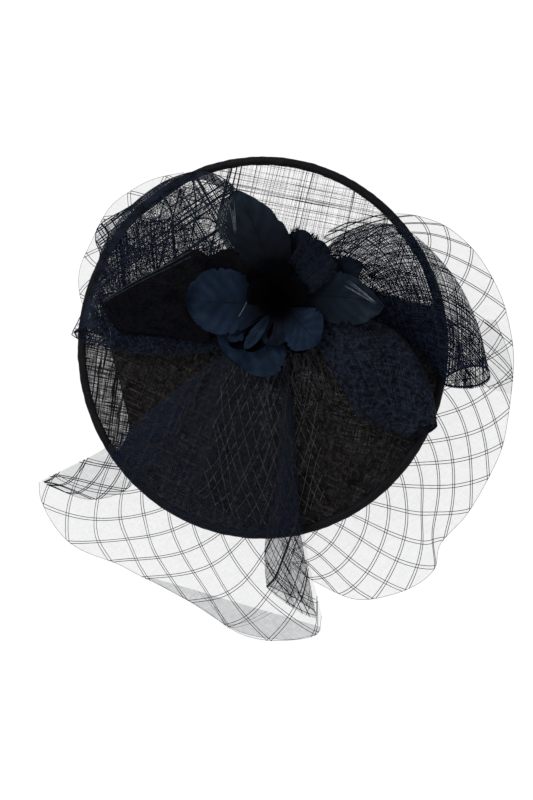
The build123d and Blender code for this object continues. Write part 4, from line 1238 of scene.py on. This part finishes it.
def build_pad():
    """Felt-covered pad under the disc: crowned top, rounded edge, stitched all round."""
    low, high = node_box("felt_cover")
    radii = (high - low)[:2] / 2
    cols = 120
    turn = np.linspace(0, 2 * np.pi, cols, endpoint=False)
    rings = []
    for inset in (0.97, 0.8, 0.6, 0.4, 0.22, 0.1, 0.045, 0.015, 0.0):
        x, y = radii[0] * (1 - inset) * np.cos(turn), radii[1] * (1 - inset) * np.sin(turn)
        rings.append(np.stack([x, y, np.full(cols, low[2]) + 1.6 * max(0, 0.1 - inset) / 0.1], -1))
    for share in (0.35, 0.6, 0.85, 1.0):
        x, y = radii[0] * np.cos(turn), radii[1] * np.sin(turn)
        top = dome(x, y, -CLOTH / 2 - 0.1)
        rings.append(np.stack([x, y, low[2] + 1.6 + (top - low[2] - 1.6) * share], -1))
    for inset in (0.05, 0.2, 0.45, 0.7, 0.97):
        x, y = radii[0] * (1 - inset) * np.cos(turn), radii[1] * (1 - inset) * np.sin(turn)
        rings.append(np.stack([x, y, dome(x, y, -CLOTH / 2 - 0.1)], -1))
    pad = grid_piece("felt_pad", np.array(rings), black_felt, closed=True)
    place(pad, "felt_cover", "base_pad", slot="felt")
    stitches = []
    for start in np.arange(0, 2 * np.pi, 0.075):
        a = start + np.linspace(0, 0.035, 4)
        x, y = radii[0] * 0.955 * np.cos(a), radii[1] * 0.955 * np.sin(a)
        stitches.append(np.stack([x, y, np.full(4, low[2] + 0.75)], -1))
    place(tube_piece("pad_stitches", stitches, 0.25, stitch_thread, sides=5), slot="thread")


def finish_cad_nodes():
    """Finishes for the CAD nodes that stay as they are."""
    finishes = {
        "clip_upper_jaw": clip_steel,
        "clip_lower_jaw": clip_steel,
        "clip_pin": clip_steel,
        "clip_spring": clip_steel,
        "clip_stitches": stitch_thread,
        "veil_tacks": stitch_thread,
        "rim_wire": stitch_thread,
        "flower_stem": stitch_thread,
    }
    for node, material in finishes.items():
        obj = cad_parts[node]
        obj.data.materials.clear()
        obj.data.materials.append(material)


# ---------------------------------------------------------------- floor, light, camera

VIEW_HEIGHT = 638.4
VIEW_DISTANCE = 1600.0
VIEW_TILT = math.radians(14.1)
TILT_TOWARDS = math.radians(5.5)
FRAME_CENTRE = (6.2, -41.4)
FILM_SIZE = 36.0


def build_stage():
    floor_z = LOWEST - 6.0
    corners = np.array([(-4000, -4000, floor_z), (4000, -4000, floor_z), (4000, 4000, floor_z),
                        (-4000, 4000, floor_z)])
    finish = Finish("pale_floor")
    finish.set(Roughness=0.9, Specular_IOR_Level=0.0, Emission_Strength=0.97)
    finish.shader.inputs["Emission Color"].default_value = (1, 1, 1, 1)
    grain = finish.noise(finish.mapped(), 6.0, 2.0)
    finish.colours(finish.spread(grain, 0.3, 0.7, 0, 1), (0.10, 0.10, 0.10), (0.11, 0.11, 0.11))
    make_mesh("floor", corners, [(0, 1, 2, 3)], finish.material)

    world = bpy.data.worlds.new("studio")
    bpy.context.scene.world = world
    world.use_nodes = True
    world.node_tree.nodes["Background"].inputs["Color"].default_value = (1.0, 1.0, 1.0, 1)
    world.node_tree.nodes["Background"].inputs["Strength"].default_value = 0.5

    def softbox(name, position, size, power):
        light = bpy.data.lights.new(name, "AREA")
        light.shape = "DISK"
        light.size = size
        light.energy = power
        obj = bpy.data.objects.new(name, light)
        obj.location = position
        obj.rotation_euler = (-Vector(position)).to_track_quat("-Z", "Y").to_euler()
        bpy.context.scene.collection.objects.link(obj)

    softbox("key_light", (-0.9, 0.9, 1.5), 0.8, 13.0)
    softbox("fill_light", (1.2, -0.8, 1.3), 1.2, 4.0)


def build_camera():
    toward = Vector((math.sin(VIEW_TILT) * math.cos(TILT_TOWARDS),
                     math.sin(VIEW_TILT) * math.sin(TILT_TOWARDS), math.cos(VIEW_TILT)))
    right = Vector((0, 1, 0)).cross(toward).normalized()
    up = toward.cross(right)
    target = right * FRAME_CENTRE[0] + up * FRAME_CENTRE[1]
    data = bpy.data.cameras.new("camera")
    data.sensor_fit = "VERTICAL"
    data.sensor_height = FILM_SIZE
    data.lens = FILM_SIZE * VIEW_DISTANCE / VIEW_HEIGHT
    data.clip_end = 20.0
    camera = bpy.data.objects.new("camera", data)
    turn = Matrix((right, up, toward)).transposed()
    camera.matrix_world = Matrix.Translation((target + toward * VIEW_DISTANCE) * MM) @ turn.to_4x4()
    bpy.context.scene.collection.objects.link(camera)
    bpy.context.scene.camera = camera
    scene = bpy.context.scene
    scene.view_settings.view_transform = "Standard"
    scene.cycles.transparent_max_bounces = 32


build_disc()
build_rim()
build_drape()
build_wing()
build_rolls()
build_veils()
build_net()
build_petals()
build_fringes()
build_loose_quill()
build_core()
build_knot()
build_pad()
finish_cad_nodes()
build_stage()
build_camera()
